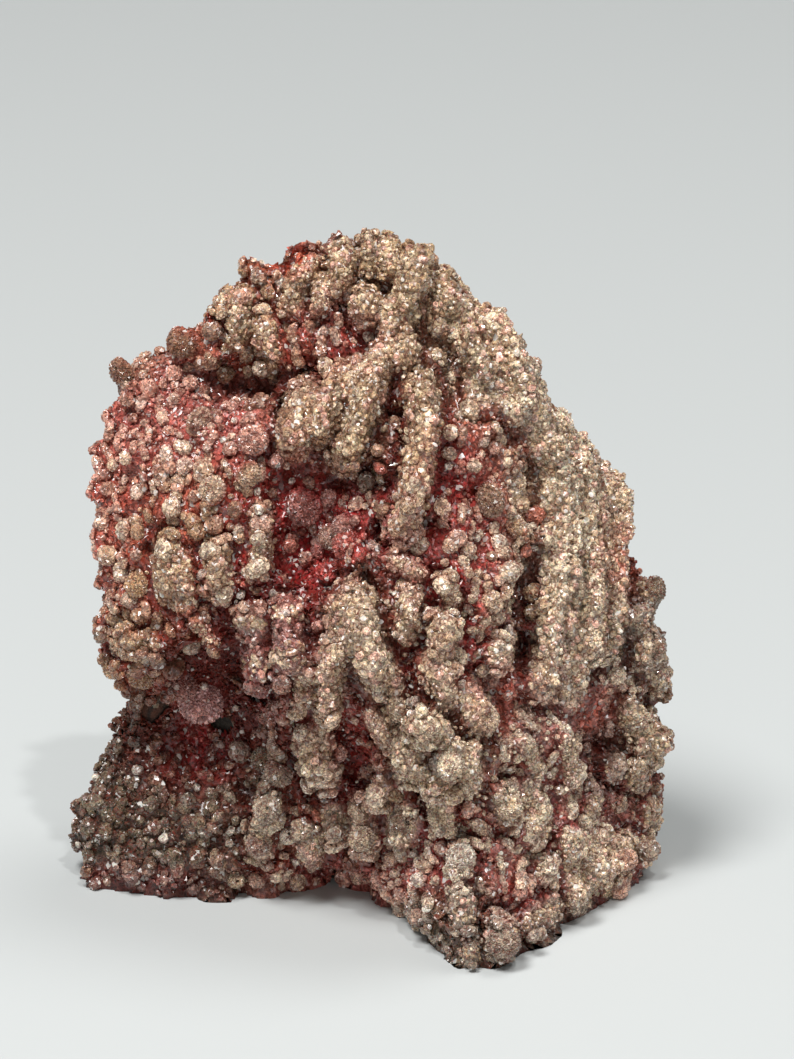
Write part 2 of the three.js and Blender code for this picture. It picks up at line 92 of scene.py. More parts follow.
camera_data = bpy.data.cameras.new("camera")
camera_data.sensor_width = SENSOR
camera_data.lens = SENSOR * CAMERA_DISTANCE / PICTURE_HEIGHT
camera = bpy.data.objects.new("camera", camera_data)
camera.location = from_face(*PICTURE_MIDDLE) + TOWARDS_VIEWER * CAMERA_DISTANCE * MM
camera.rotation_euler = TOWARDS_VIEWER.to_track_quat("Z", "Y").to_euler()
bpy.context.scene.collection.objects.link(camera)
bpy.context.scene.camera = camera
print("lens in mm:", round(camera_data.lens, 1))

# %% [markdown]
# Colours are written as sRGB hex values, the way a paint program shows them. Blender computes
# with linear light, so one function turns a hex value into linear red, green and blue.
# The minerals of this stone have few colours, so they make one short palette.

# %% Palette


def linear(hex_colour):
    channels = [int(hex_colour[i : i + 2], 16) / 255 for i in (1, 3, 5)]
    return [c / 12.92 if c <= 0.04045 else ((c + 0.055) / 1.055) ** 2.4 for c in channels]


PALETTE = {
    "cream": "#e0cfb6",
    "sand": "#c6b297",
    "tan": "#ad9373",
    "brown": "#80634b",
    "blush": "#cf9e8e",
    "rose": "#a8504a",
    "brick": "#a04030",
    "crimson": "#9c1a20",
    "wine": "#641a1a",
    "coral": "#cc5e4a",
    "ember": "#b83e28",
    "mauve": "#9a746e",
    "lilac": "#cfa6a2",
    "grey": "#948678",
    "silver": "#d2cabe",
    "olive": "#6c604c",
    "near_black": "#241912",
    "umber": "#40332a",
}
TINTS = {name: np.array(linear(value)) for name, value in PALETTE.items()}
print(len(TINTS), "mineral colours")

# %% [markdown]
# The crust isn't the same all over. Each region of it below has its place and reach on the
# face, the colour of the glassy ground, and the colour of the balls. Then come three shares
# from 0 to 1: how much of the ground has large balls, how much has small ones, and how frosted
# the crystals in between are. Regions fade into each other, so a place takes a little of each
# region near it.

# %% Regions of the face
REGIONS = [
    # name, x, y, half width, half height, ground, balls, large, small, frost
    ("crown", 1, 61.4, 8, 5, "brown", "tan", 0.25, 0.8, 0.9),
    ("crown right", 12, 55, 5, 5, "tan", "sand", 0.1, 0.6, 1),
    ("smooth window", -8.3, 63.9, 1.3, 1.3, "ember", "ember", 0, 0, 0),
    ("pale rim", -7.4, 65.9, 3.4, 0.8, "blush", "cream", 0, 0.5, 0.5),
    ("upper left shoulder", -14.4, 57, 5, 4, "brick", "tan", 0.45, 0.75, 0.5),
    ("below the shoulder", -10, 53.5, 4, 2.2, "brick", "tan", 0.35, 0.6, 0.4),
    ("brick hollow", -4, 55, 3.2, 2.6, "crimson", "blush", 0.1, 0.45, 0.3),
    ("corner knob", -24.8, 52.8, 2.2, 1.8, "brown", "brown", 0.6, 0.9, 0.9),
    ("pink ledge", -20.6, 51.2, 3.6, 1.8, "rose", "blush", 0.2, 0.5, 0.35),
    # The crevice gets a near-black ground: painted shade in a deep place.
    ("crevice", -12.4, 50.4, 4.6, 1.2, "near_black", "mauve", 0, 0.1, 0.2),
    ("lobe top", -22.4, 45.4, 5.5, 3.5, "rose", "blush", 0.12, 0.45, 0.36),
    ("pink slope", -13.4, 46.4, 2, 2, "rose", "blush", 0.1, 0.4, 0.3),
    ("lobe middle", -18.4, 38.4, 5.5, 5, "brick", "tan", 0.35, 0.6, 0.3),
    ("lobe edge", -27.6, 38.4, 2, 9, "brick", "blush", 0.1, 0.5, 0.35),
    ("lobe foot", -24, 25.4, 4.5, 4.5, "brick", "tan", 0.5, 0.8, 0.6),
    ("lobe inner side", -12, 35, 2.4, 6, "crimson", "sand", 0.25, 0.55, 0.3),
    ("deep red valley", -7.4, 36.4, 2.8, 6.5, "crimson", "rose", 0, 0.25, 0.1),
    ("mauve bead row", -3.6, 37, 2.2, 2.6, "crimson", "mauve", 0.3, 0.5, 0.3),
    ("brow", -4, 47.6, 4.4, 3.4, "brown", "tan", 0.1, 0.8, 0.9),
    ("hanging rods", 1.6, 47, 4, 6, "wine", "tan", 0.08, 0.6, 0.5),
    ("red hollow", 8.3, 42, 2.2, 3, "crimson", "rose", 0.05, 0.4, 0.3),
    ("rod to the right of it", 11.4, 47, 3, 3.4, "brick", "sand", 0.1, 0.6, 0.5),
    ("centre", 9, 34.4, 4.5, 5, "crimson", "sand", 0.3, 0.5, 0.35),
    ("centre left", 2.4, 35.4, 3.4, 3, "crimson", "blush", 0.2, 0.45, 0.3),
    ("ridges", 20.4, 39.4, 4.5, 7, "tan", "cream", 0, 0.55, 0.9),
    ("right edge", 26.4, 36.4, 2.4, 6, "rose", "sand", 0, 0.55, 0.7),
    ("coral spots", 25.8, 33.6, 1.5, 2, "coral", "coral", 0, 0.1, 0.05),
    # The slot gets a near-black ground: painted shade in a deep place.
    ("dark slot", 15.2, 26.6, 0.9, 4.4, "near_black", "brown", 0, 0.1, 0.05),
    ("lower ridges", 19, 25, 4, 5, "mauve", "cream", 0, 0.55, 0.9),
    ("right knobs", 27.4, 28.4, 2.6, 3.4, "olive", "grey", 0.15, 0.7, 0.9),
    ("horn", 28.4, 15.8, 3, 2.6, "brown", "sand", 0.15, 0.8, 0.9),
    # The pocket gets a near-black ground: painted shade in a deep place.
    ("pocket", 23, 13.8, 1.2, 3, "near_black", "mauve", 0, 0.1, 0.05),
    ("twin boss", -9.6, 25.4, 3.4, 4, "wine", "mauve", 0.25, 0.8, 0.7),
    ("pale boss", -0.8, 26.2, 2.2, 4.4, "brown", "sand", 0, 0.6, 1),
    ("below the centre", 7, 25.6, 3.4, 3, "crimson", "sand", 0.25, 0.65, 0.4),
    ("cave", -16.2, 20.6, 4, 4.6, "wine", "crimson", 0, 0.2, 0.06),
    # The cave roof and its inner end get a near-black ground: painted shade deep in the cave.
    ("cave roof", -17, 23.6, 3.4, 1.2, "near_black", "wine", 0, 0.1, 0.02),
    ("cave inner end", -13, 19, 1.2, 3.8, "near_black", "wine", 0, 0.1, 0.02),
    ("wet dark rock", -22.8, 16, 2.8, 2.6, "near_black", "umber", 0, 0.25, 0.15),
    ("dark saddle", -12, 12.6, 2.2, 2.4, "near_black", "olive", 0.4, 0.6, 0.4),
    ("foot hem", -24, 0.8, 6, 1, "wine", "mauve", 0, 0.3, 0.3),
    ("cave floor", -17.4, 14.2, 3.6, 2.6, "crimson", "wine", 0, 0.3, 0.12),
    ("dark foot", -25.4, 6.4, 7, 6, "umber", "olive", 0.1, 0.5, 0.5),
    ("foot middle", -16.4, 5.4, 3.6, 4.6, "umber", "olive", 0.4, 0.55, 0.5),
    # The hanging balls face downwards; their cream balls and brick ground are painted lighter, as
    # painted light.
    ("hanging balls", -8.4, 6.4, 4.6, 4.6, "brick", "cream", 0.45, 0.7, 0.45),
    ("translucent hem", -2.6, 1.6, 3, 1.8, "rose", "blush", 0.3, 0.6, 0.4),
    ("broad boss", 6.2, 14.2, 4, 4, "brown", "sand", 0.15, 0.8, 0.9),
    ("red trough", -2.2, 14.4, 1.8, 4.4, "crimson", "blush", 0.05, 0.35, 0.12),
    ("ridge left of the trough", -5.6, 18, 2, 3.4, "brick", "sand", 0.2, 0.7, 0.6),
    ("under the broad boss", 4.6, 6.4, 4.4, 3, "crimson", "cream", 0.35, 0.6, 0.45),
    ("red patch", 12.8, 20.6, 2.4, 1.6, "coral", "blush", 0.1, 0.4, 0.2),
    ("second red patch", 22.1, 18.4, 1.3, 1.2, "coral", "blush", 0, 0.4, 0.2),
    ("lower right", 17.6, 8, 6.5, 6.5, "rose", "cream", 0.2, 0.6, 0.52),
    ("crimson low spot", 14.4, -0.6, 1.6, 1.2, "crimson", "blush", 0.1, 0.4, 0.2),
    ("tip", 11.6, -3.4, 4.4, 2.6, "olive", "grey", 0.2, 0.8, 0.8),
    ("lower right edge", 27, 4, 3, 4.4, "rose", "sand", 0.2, 0.65, 0.6),
]
SPREAD = np.array([row[1:5] for row in REGIONS], float)
GROUND = np.array([TINTS[row[5]] for row in REGIONS])
BALL = np.array([TINTS[row[6]] for row in REGIONS])
LARGE, COVER, FROST = np.array([row[7:10] for row in REGIONS]).T
BLUR = 1.25


def shares(places):
    """How much of each region there is at each place, adding up to 1."""
    face = to_face(places)
    across = (face[:, None, 0] - SPREAD[:, 0]) / (BLUR * SPREAD[:, 2])
    up = (face[:, None, 1] - SPREAD[:, 1]) / (BLUR * SPREAD[:, 3])
    weight = np.exp(-np.minimum(across**2 + up**2, 40)) / np.sqrt(SPREAD[:, 2] * SPREAD[:, 3])
    weight += 1e-12 / (1 + across**2 + up**2)
    return weight / weight.sum(1, keepdims=True)


print(len(REGIONS), "regions")

# %% [markdown]
# The crust has deep places where it grew slowly: a crevice, a valley, a slot, a pocket and a
# cave. The solid holds the large ones already. Each row below deepens one oval place of the
# skin, most in its middle and less towards its rim.

# %% Hollows
HOLLOWS = [
    # name, x, y, half width, half height, degrees turned, depth in mm
    ("crevice under the shoulder", -13.4, 50.7, 5.6, 1, -17, 2.6),
    ("left of the brow", -7.6, 52, 2.2, 1.1, 25, 2),
    ("brick hollow", -4.4, 54.8, 2.4, 1.8, -30, 0.8),
    ("valley, upper part", -9, 40, 1, 4, -8, 1.6),
    ("valley, lower part", -8.6, 33, 1.6, 2.6, 24, 1.6),
    ("below the brow", -2.6, 41, 3, 0.9, 10, 1.8),
    ("right of the mauve balls", 0, 36.6, 0.9, 2.4, 10, 1.4),
    ("between the hanging rods", 2.2, 48.8, 0.9, 3, 6, 1.4),
    ("below them", 1.8, 43.4, 1.4, 1.6, -30, 1.6),
    ("red hollow", 8.6, 41.4, 1.3, 1.4, 8, 1.2),
    ("below the long rod", 6.6, 36.6, 2.4, 1, 0, 1),
    ("left of the centre", 0.6, 32.6, 1.2, 2, 0, 1),
    ("slot", 15.2, 26.4, 0.8, 4.4, 2, 2.8),
    ("above the slot", 14.4, 31, 1.4, 1, 0, 1.4),
    ("pocket", 22.7, 14, 0.7, 2.8, 6, 3),
    ("below the horn", 24.8, 10.3, 1.9, 0.6, -25, 2),
    ("beside the right knobs", 25.4, 27.6, 0.6, 2.8, -20, 1.8),
    ("cave", -16.4, 22.6, 4.2, 3, 0, 2.8),
    ("cave, inner end", -13.3, 18.6, 1.6, 4.4, -8, 3),
    ("left of the cave", -20.6, 22.6, 0.8, 2.4, 10, 2.2),
    ("above the cave", -15.4, 29, 1, 1.8, 12, 1.8),
    ("trough", -2.2, 14.4, 1.4, 3.6, 8, 1.4),
    ("left of the pale boss", -2.6, 22.4, 1.1, 1.8, -25, 2),
    ("under the twin boss", -9.6, 20, 1.6, 1, 0, 1.4),
    ("between foot and hanging balls", -13.4, 9, 0.7, 3.4, 10, 1.6),
    ("below the knob", -6.6, 10, 2.4, 0.9, 0, 1.2),
    ("below the broad boss", 4.4, 9.2, 2.2, 0.9, 20, 1.8),
    ("right of the broad boss", 11.8, 14, 0.8, 2.6, -20, 1.2),
    ("above the broad boss", 7.6, 18, 1.8, 0.6, -30, 1.6),
]


def hollow_at(face):
    """Depth in mm that the hollows add at each place of the face."""
    depth = np.zeros(len(face))
    for _, x, y, half_width, half_height, degrees, deepest in HOLLOWS:
        turn = math.radians(degrees)
        right, up = face[:, 0] - x, face[:, 1] - y
        across = (right * math.cos(turn) + up * math.sin(turn)) / half_width
        along = (up * math.cos(turn) - right * math.sin(turn)) / half_height
        depth = np.maximum(depth, deepest * np.exp(-np.minimum(across**2 + along**2, 40) ** 1.5))
    return depth


print(len(HOLLOWS), "hollows")

# %% [markdown]
# Rods run down the face like fringes: strings of balls that have grown together. The thick
# ones are already bars on the solid, and only get a little more height here. The thinner ones
# are raised from the skin itself. On both sides of a rod the skin drops into a gutter, because
# nothing grows well in the shade of its neighbour, and the gutter's colour gets painted shade.

# %% Rods
THICK_RODS = [
    # radius, then the places that the rod passes on the face, from top to tip
    (1.7, (4.6, 64.2), (3.6, 60), (2.9, 57.4)),
    (1.6, (4.6, 50.8), (5.1, 47), (4.4, 42.6), (3.6, 38.4), (2.8, 36.6)),
    (1.5, (1.1, 54.4), (-0.2, 50), (-1.6, 46.4), (-2.9, 43)),
    (1.3, (-3.2, 52), (-4.4, 48.6), (-5.3, 45.8)),
    (1.6, (-6.8, 50), (-7.4, 46.6), (-8, 44.4)),
    (1.2, (-7, 62.6), (-8.2, 58.6)),
    (1.2, (-12.9, 59.6), (-13.7, 55.2)),
    (1.2, (-0.2, 65.6), (-0.4, 62.6)),
    (1.4, (7.2, 61), (6.8, 57)),
    (1.5, (11.4, 58.2), (13, 54.2), (14.4, 49.8), (14.8, 47.8)),
    (1.4, (8.6, 56.4), (10.2, 53), (10.8, 49.8)),
    (1.5, (16.4, 46.8), (18.2, 42.4), (18.6, 37.4), (18.2, 31.4), (17.4, 25.4), (17, 20.6)),
    (1.4, (20.8, 45), (21.4, 38), (21.2, 30), (20.5, 24), (20, 19.8)),
    (1.3, (24, 42.6), (24.4, 36.4), (24.4, 30.4), (23.6, 24)),
    (1.9, (-2, 29.8), (-1.2, 25.6), (0.8, 21.6)),
    (1.2, (3.5, 30.2), (3.5, 26.6)),
    (1.3, (-3.9, 25), (-4.2, 21.4), (-4.6, 18)),
    (1.2, (15.8, 10.6), (16.4, 8.2), (16.4, 5.8)),
    (1.5, (9.6, 20.2), (10.8, 17.8)),
    (1.3, (-15.3, 34.6), (-15.2, 30.6)),
    (1.3, (-20.4, 34.8), (-20.2, 30.4)),
]
THIN_RODS = [
    (1.2, (8.8, 58.6), (9.3, 55.8)), (1.2, (11.2, 52), (12.9, 49.4)),
    (1.5, (-0.9, 59.4), (-0.8, 57.8)), (1.1, (1.2, 58), (1.4, 56.4)),
    (1.2, (-3.2, 64), (-3.2, 61.2)), (0.9, (-5.1, 60.8), (-5.4, 58.2)),
    (0.8, (-6.2, 63.2), (-6.6, 61.6)), (1, (1.8, 65.4), (1.6, 62)),
    (1.2, (-10.9, 56.8), (-10.3, 53.5)), (1.3, (3.1, 54.8), (3.2, 53.4)),
    (0.9, (-1.5, 52.8), (-2.1, 50.4)), (1.1, (-14.9, 60), (-15.2, 58.8)),
    (1, (10.2, 61), (12.4, 57)), (0.9, (14.2, 55), (16.4, 50.6)),
    (1, (-11, 38.4), (-11, 35.8), (-11, 34), (-11.4, 32.5)),
    (1.1, (-20.1, 35.1), (-18.9, 32.7), (-18.6, 29.2)),
    (1.5, (-12.3, 27.8), (-11.9, 26.6)), (1.4, (-8.3, 28.9), (-8.4, 27.6)),
    (1.6, (-8.2, 25.4), (-8.6, 23)), (1.4, (-11.8, 23.9), (-11.5, 21.8)),
    (1, (-6.9, 22), (-6.8, 20.2)), (1, (-3.7, 29), (-3.6, 26.6)),
    (0.8, (-17.4, 27.2), (-15.7, 25)), (1.3, (-25.2, 25.4), (-22.4, 25)),
    (0.9, (2.2, 33.6), (4.4, 32.2)), (1, (7, 31.4), (7.8, 29.6)),
    (1.6, (7, 27.2), (6.9, 25.8)), (1.7, (6.2, 23.4), (6.5, 22.2)),
    (1.3, (12.8, 24.8), (12.6, 23.4)), (1.3, (7, 21), (7.4, 20)),
    (1.9, (-5.8, 15), (-5.1, 12)), (1.7, (4.3, 17.2), (5.8, 16.8)),
    (1.5, (3.3, 15.8), (3.4, 14.6)), (1.3, (7.7, 14.8), (7.6, 13.2)),
    (1.3, (3.3, 12.8), (4.6, 12)), (1.4, (6.1, 11.4), (7.2, 10.4)),
    (1.1, (9.6, 14.4), (9.5, 11)), (1, (0, 17.9), (1.4, 15.2)),
    (1.1, (0.5, 10.8), (0.6, 9.6)), (1, (2, 19.4), (2, 18.4)),
    (1.4, (-10.8, 9.2), (-10.6, 7.8)), (1.3, (-11.7, 5.8), (-11.6, 4)),
    (1.2, (-4, 7.8), (-4, 5.4)), (1.2, (-1.4, 8.9), (-1.4, 7.8)),
    (1.5, (-1.2, 6.2), (-1.1, 5)), (1.3, (-6.5, 5.8), (-6.3, 3.4)),
    (1.5, (3, 7.8), (2.7, 6)), (1.2, (6.6, 8.9), (6.8, 7.4)),
    (1.3, (8.6, 4.6), (8.6, 3.2)), (1.4, (13.4, 9.9), (13.4, 8.2)),
    (1, (19.8, 5.6), (20.4, 1)), (1, (21.6, 6.2), (21.8, 0.8)),
    (1, (23.3, 5.6), (22.9, 1)), (1, (17.4, 3), (17.4, 1.8)),
    (1.4, (25.4, 4.5), (25.2, 2.2)), (1.1, (28, 4.3), (28, 3.1)),
    (1, (28.6, 8.2), (28.6, 6.2)), (1.2, (24.8, 0.8), (24.6, -0.6)),
    (1.3, (20.8, 0), (20.8, -1.4)), (1.6, (12.8, -3.2), (12.8, -5)),
    (1.3, (8.8, 0.2), (8.8, -2)), (1, (9.6, -4.8), (9.6, -6)),
    (1, (16.2, -1.6), (15.8, -3)), (1, (18, -1), (17.9, -2.2)),
    (1.4, (29.2, 15), (28.6, 13.6)), (1.2, (26, 18.2), (26.2, 16.6)),
    (1, (24.4, 13), (24.4, 11.8)), (1.2, (27, 12.4), (26.8, 11)),
    (1.6, (27.5, 16.6), (27.8, 15)), (1.2, (16.2, 50), (16.9, 47.4)),
    (1.1, (18.6, 47.6), (19.5, 44.8)), (1, (22.4, 34), (22.2, 24)),
    (0.9, (25.6, 40), (25.5, 36)), (1.2, (28.1, 31), (28, 29.6)),
    (1.4, (27.1, 27.8), (27.1, 26.4)), (1.5, (27.9, 25), (27.9, 23.4)),
    (1.2, (28.7, 22.2), (29.2, 20.8)), (0.8, (19.6, 15.4), (20, 11)),
    (0.8, (15.2, 15.4), (16.4, 12.6)), (0.8, (22.6, 9.6), (22, 7.6)),
]
ROD_RISE = {"thick": 0.5, "thin": 1}
GUTTER = {"depth": 2.3, "at": 1.42, "width": 0.42}
RODS = [("thick", *rod) for rod in THICK_RODS] + [("thin", *rod) for rod in THIN_RODS]


def distance_to_route(face, route):
    """Distance on the face from each place to a route of straight stretches."""
    nearest = np.full(len(face), 1e9)
    for start, end in zip(route, route[1:]):
        start, way = np.array(start, float), np.subtract(end, start)
        along = np.clip((face[:, :2] - start) @ way / (way @ way), 0, 1)
        gap = face[:, :2] - start - along[:, None] * way
        nearest = np.minimum(nearest, np.linalg.norm(gap, axis=1))
    return nearest


def rods_near(places):
    """Height that the rods add, depth of the gutters, and 1 on a rod down to 0 off it."""
    face = to_face(places)
    rise, depth, on_rod = np.zeros((3, len(face)))
    for kind, radius, *route in RODS:
        reach = distance_to_route(face, route) / radius
        rise = np.maximum(rise, ROD_RISE[kind] * radius * np.sqrt(np.clip(1 - reach**2, 0, 1)))
        ring = (reach - GUTTER["at"]) / GUTTER["width"]
        deepest = min(GUTTER["depth"], 1.3 * radius)
        depth = np.maximum(depth, deepest * np.exp(-np.minimum(ring**2, 40)))
        on_rod = np.maximum(on_rod, np.clip(2.4 - 2 * reach, 0, 1))
    return rise, depth * (1 - on_rod), on_rod


print(len(THICK_RODS), "thick rods and", len(THIN_RODS), "thin ones")

# %% [markdown]
# The skin starts as a copy of the crust's solid. Its triangles are merged, and a voxel remesh
# turns its facets into an even net half a millimetre fine, which smoothing then rounds off.
# The outer side is let down by half a millimetre or more, to make room for the balls that will
# stand on it, and stops where the crust over the rock gets thin. The inner side stays where it
# meets the rock.

# %% Copies of the solids
VOXEL = 0.5 * MM


def merged_copy(node):
    """The node's triangles with their shared corners joined."""
    work = bmesh.new()
    work.from_mesh(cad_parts[node].data)
    bmesh.ops.remove_doubles(work, verts=work.verts, dist=0.001 * MM)
    return work


def remeshed(work, name, voxel):
    """A new object whose mesh is an even net over the same shape."""
    mesh = bpy.data.meshes.new(name)
    work.to_mesh(mesh)
    work.free()
    piece = bpy.data.objects.new(name, mesh)
    bpy.context.scene.collection.objects.link(piece)
    net = piece.modifiers.new("net", "REMESH")
    net.mode = "VOXEL"
    net.voxel_size = voxel
    fine = bpy.data.meshes.new_from_object(
        piece.evaluated_get(bpy.context.evaluated_depsgraph_get())
    )
    piece.modifiers.clear()
    piece.data = fine
    fine.name = name
    return piece


def tree_of(piece):
    """What finds the nearest point of a piece, or where a line meets it."""
    places = [vertex.co.copy() for vertex in piece.data.vertices]
    return BVHTree.FromPolygons(places, [tuple(face.vertices) for face in piece.data.polygons])


def triangle_count(piece):
    piece.data.calc_loop_triangles()
    return len(piece.data.loop_triangles)


rock = remeshed(merged_copy("matrix_rock"), "matrix_rock_surface", 0.66 * MM)
skin = remeshed(merged_copy("chalcedony_crust"), "chalcedony_skin", VOXEL)
rock_tree = tree_of(rock)
print("triangles: rock", triangle_count(rock), "skin", triangle_count(skin))

# %% Let the outer side of the skin down
LET_DOWN = 0.5
HOLLOW = 1.1
GRAIN = 0.16
GRAIN_SIZE = 0.8
LUMP_SIZE = 1.7
LUMP_HEIGHT = 0.7
BASE_GRIP = 0.35
WALL_LEFT = 0.8
WALL_SOUGHT = 6


def faces_rock(place, outward):
    return rock_tree.ray_cast(place, outward, 1.3 * MM)[0] is not None


def relief(places):
    """Height in mm that rods and fused lumps add, depth in mm of gutters and hollows, and 1 on a rod
    down to 0 off it.
    """
    rise, gutter, on_rod = rods_near(places)
    depth = gutter + hollow_at(to_face(places)) * (1 - on_rod)
    lumps = [noise.voronoi(Vector(place) / (LUMP_SIZE * MM))[0][0] for place in places]
    lumpy = LUMP_HEIGHT * (0.5 - np.array(lumps))
    return rise + lumpy, depth, on_rod


def let_down(piece):
    work = bmesh.new()
    work.from_mesh(piece.data)
    for _ in range(2):
        bmesh.ops.smooth_vert(
            work, verts=work.verts, factor=0.5, use_axis_x=True, use_axis_y=True, use_axis_z=True
        )
    work.normal_update()
    outward = {vertex: vertex.normal.copy() for vertex in work.verts}
    places = np.array([vertex.co for vertex in work.verts])
    open_ground = 1 - shares(places) @ COVER
    rise, depth, on_rod = relief(places)
    hidden = []
    for vertex, normal in outward.items():
        if faces_rock(vertex.co, normal):
            hidden.append(vertex.index)
            continue
        if vertex.co.z < BASE_GRIP * MM:
            continue
        i = vertex.index
        forward = max(0, normal.dot(TOWARDS_VIEWER))
        ripple = GRAIN * noise.noise(vertex.co / (GRAIN_SIZE * MM))
        lower = LET_DOWN + HOLLOW * open_ground[i] * (1 - on_rod[i]) - ripple
        lower += forward * (depth[i] - rise[i])
        if lower > 0.3:
            wall = rock_tree.ray_cast(vertex.co, -normal, WALL_SOUGHT * MM)[3]
            lower = min(lower, max(0, wall / MM - WALL_LEFT)) if wall else lower
        vertex.co -= normal * lower * MM
    for vertex in work.verts:
        if vertex.co.z < BASE_GRIP * MM:
            vertex.co.z = 0
    work.to_mesh(piece.data)
    work.free()
    return hidden


hidden_corners = let_down(skin)
print("skin let down by", LET_DOWN, "mm;", len(hidden_corners), "corners face the rock")

# %% Spare triangles on the side that nobody sees
KEPT = 0.72

group = skin.vertex_groups.new(name="hidden side")
group.add(hidden_corners, 1, "REPLACE")
fewer = skin.modifiers.new("fewer", "DECIMATE")
fewer.vertex_group = "hidden side"
fewer.ratio = KEPT
skin.data = bpy.data.meshes.new_from_object(
    skin.evaluated_get(bpy.context.evaluated_depsgraph_get())
)
skin.modifiers.clear()
skin.vertex_groups.clear()
skin.data.name = "chalcedony_skin"
skin_tree = tree_of(skin)
print("skin now has", triangle_count(skin), "triangles")

# %% [markdown]
# The rock is a dull, broken, olive-brown stone. It broke along many small flat faces, from
# several millimetres across down to grains. So the surface is divided into cells, each cell
# gets a plane with its own tilt, and the skin of the rock is moved to these planes, mostly
# inwards. Where two planes meet there is a sharp edge or a groove. The flat base stays flat, and
# near the crust the rock moves less, so that no gap opens along the seam.

# %% Break the rock's surface
ROCK_STEPS = [(8.0, 0.46), (3.2, 0.38), (1.5, 0.3)]
BROKEN_IN = 0.5
SEAM_REACH = 4


def broken(place):
    """Height of the broken surface over the solid's, in mm."""
    height = -BROKEN_IN
    for size, tilt in ROCK_STEPS:
        _, middles = noise.voronoi(place / (size * MM))
        slope = noise.cell_vector(middles[0] * 7.3) * 2 - Vector((1, 1, 1))
        height += tilt * size * slope.dot(place / (size * MM) - middles[0])
    return height


def break_surface(piece):
    """Moves the surface, and returns how far each corner went, in mm."""
    work = bmesh.new()
    work.from_mesh(piece.data)
    work.normal_update()
    outward = {vertex: vertex.normal.copy() for vertex in work.verts}
    heights = np.zeros(len(work.verts))
    for vertex, normal in outward.items():
        if vertex.co.z > BASE_GRIP * MM:
            gap = skin_tree.find_nearest(vertex.co)[3] / MM
            heights[vertex.index] = min(0.35, broken(vertex.co)) * min(1, gap / SEAM_REACH)
            vertex.co += normal * heights[vertex.index] * MM
            vertex.co.z = max(vertex.co.z, 0)
    work.to_mesh(piece.data)
    work.free()
    return heights


rock_heights = break_surface(rock)
print("rock broken by", round(float(np.ptp(rock_heights)), 2), "mm")

# %% [markdown]
# The ground colour of the skin changes from place to place, so it is stored on the mesh as a
# colour attribute, worked out from the regions. Behind the widest outline the crust is duller
# and browner, where it was dirty and never polished by handling. Gutters and hollows get
# painted shade: their colour is darkened towards a deep wine red. The rock stores how far its
# surface moved, because its colour is darker where it lies low, and where it faces the viewer,
# as in the cave, it counts as lower still, which paints shade on it.

# %% Ground colour
# Painted shade: the colour that gutters and hollows are darkened towards.
GUTTER_PAINTED_SHADE = TINTS["wine"] * 0.45
HOLLOW_SHADE_FULL_AT = 3
RIND = TINTS["brown"] * 0.55 + TINTS["rose"] * 0.15
# Painted shade in the cave: rock that faces the viewer counts as this many mm lower, so its colour is
# darker.
CAVE_PAINTED_SHADE = 4.4


def facing(normals):
    """How much a surface faces the viewer, from -1 to 1."""
    return np.asarray(normals) @ FACE_AXES[2]


def clouded(places):
    """Soft noise from -1 to 1 at each place, over a couple of millimetres."""
    return np.array([2 * noise.noise(Vector(place) / (2.4 * MM)) for place in places])


def ground_tint(places, normals):
    mixed = shares(places)
    _, gutter, on_rod = rods_near(places)
    # Painted shade: gutters and deep hollows are darkened towards a deep wine red.
    shaded = (hollow_at(to_face(places)) / HOLLOW_SHADE_FULL_AT) ** 2 * (1 - on_rod)
    dark = np.clip(0.4 * gutter + shaded, 0, 0.9)[:, None]
    between = (0.3 + 0.2 * clouded(places)) * (mixed @ FROST) * np.clip(1 - gutter, 0, 1)
    frosted = np.maximum(0.8 * on_rod, between)[:, None]
    tint = mixed @ GROUND * (1 - frosted) + mixed @ BALL * frosted
    tint = tint * (1 - dark) + GUTTER_PAINTED_SHADE * dark
    behind = np.clip(-1.6 * facing(normals) - 0.1, 0, 0.85)[:, None]
    return tint * (1 - behind) + RIND * behind


def numbers(collection, name, width):
    flat = np.empty(len(collection) * width)
    collection.foreach_get(name, flat)
    return flat.reshape(-1, width)


def store(mesh, name, kind, domain, values):
    attribute = mesh.attributes.new(name, kind, domain)
    values = np.asarray(values)
    if kind == "FLOAT_COLOR":
        values = np.column_stack([values, np.ones(len(values))])
        attribute.data.foreach_set("color", values.ravel())
    else:
        attribute.data.foreach_set("value", values.ravel())


skin_places = numbers(skin.data.vertices, "co", 3)
skin_normals = numbers(skin.data.vertices, "normal", 3)
store(skin.data, "tint", "FLOAT_COLOR", "POINT", ground_tint(skin_places, skin_normals))
store(skin.data, "facet", "FLOAT", "POINT", np.full(len(skin_places), 0.5))
rock_normals = numbers(rock.data.vertices, "normal", 3)
# Painted shade: rock facing the viewer is stored as lower, which darkens its colour.
painted_cave_shade = CAVE_PAINTED_SHADE * np.clip(2 * facing(rock_normals), 0, 1)
store(rock.data, "height", "FLOAT", "POINT", rock_heights - painted_cave_shade)
print("ground colour stored on", len(skin_places), "points")

# %% [markdown]
# One ball starts as an icosphere, which has even facets. Its corners are pushed in and out at
# random, because a druse of quartz points has no smooth curve, and its buried underside is
# gathered into one point. The larger kinds get a low point raised on most facets with the poke
# operator, so that each of these becomes a tiny crystal.

# %% Models of a ball
UNDERSIDE = -0.42


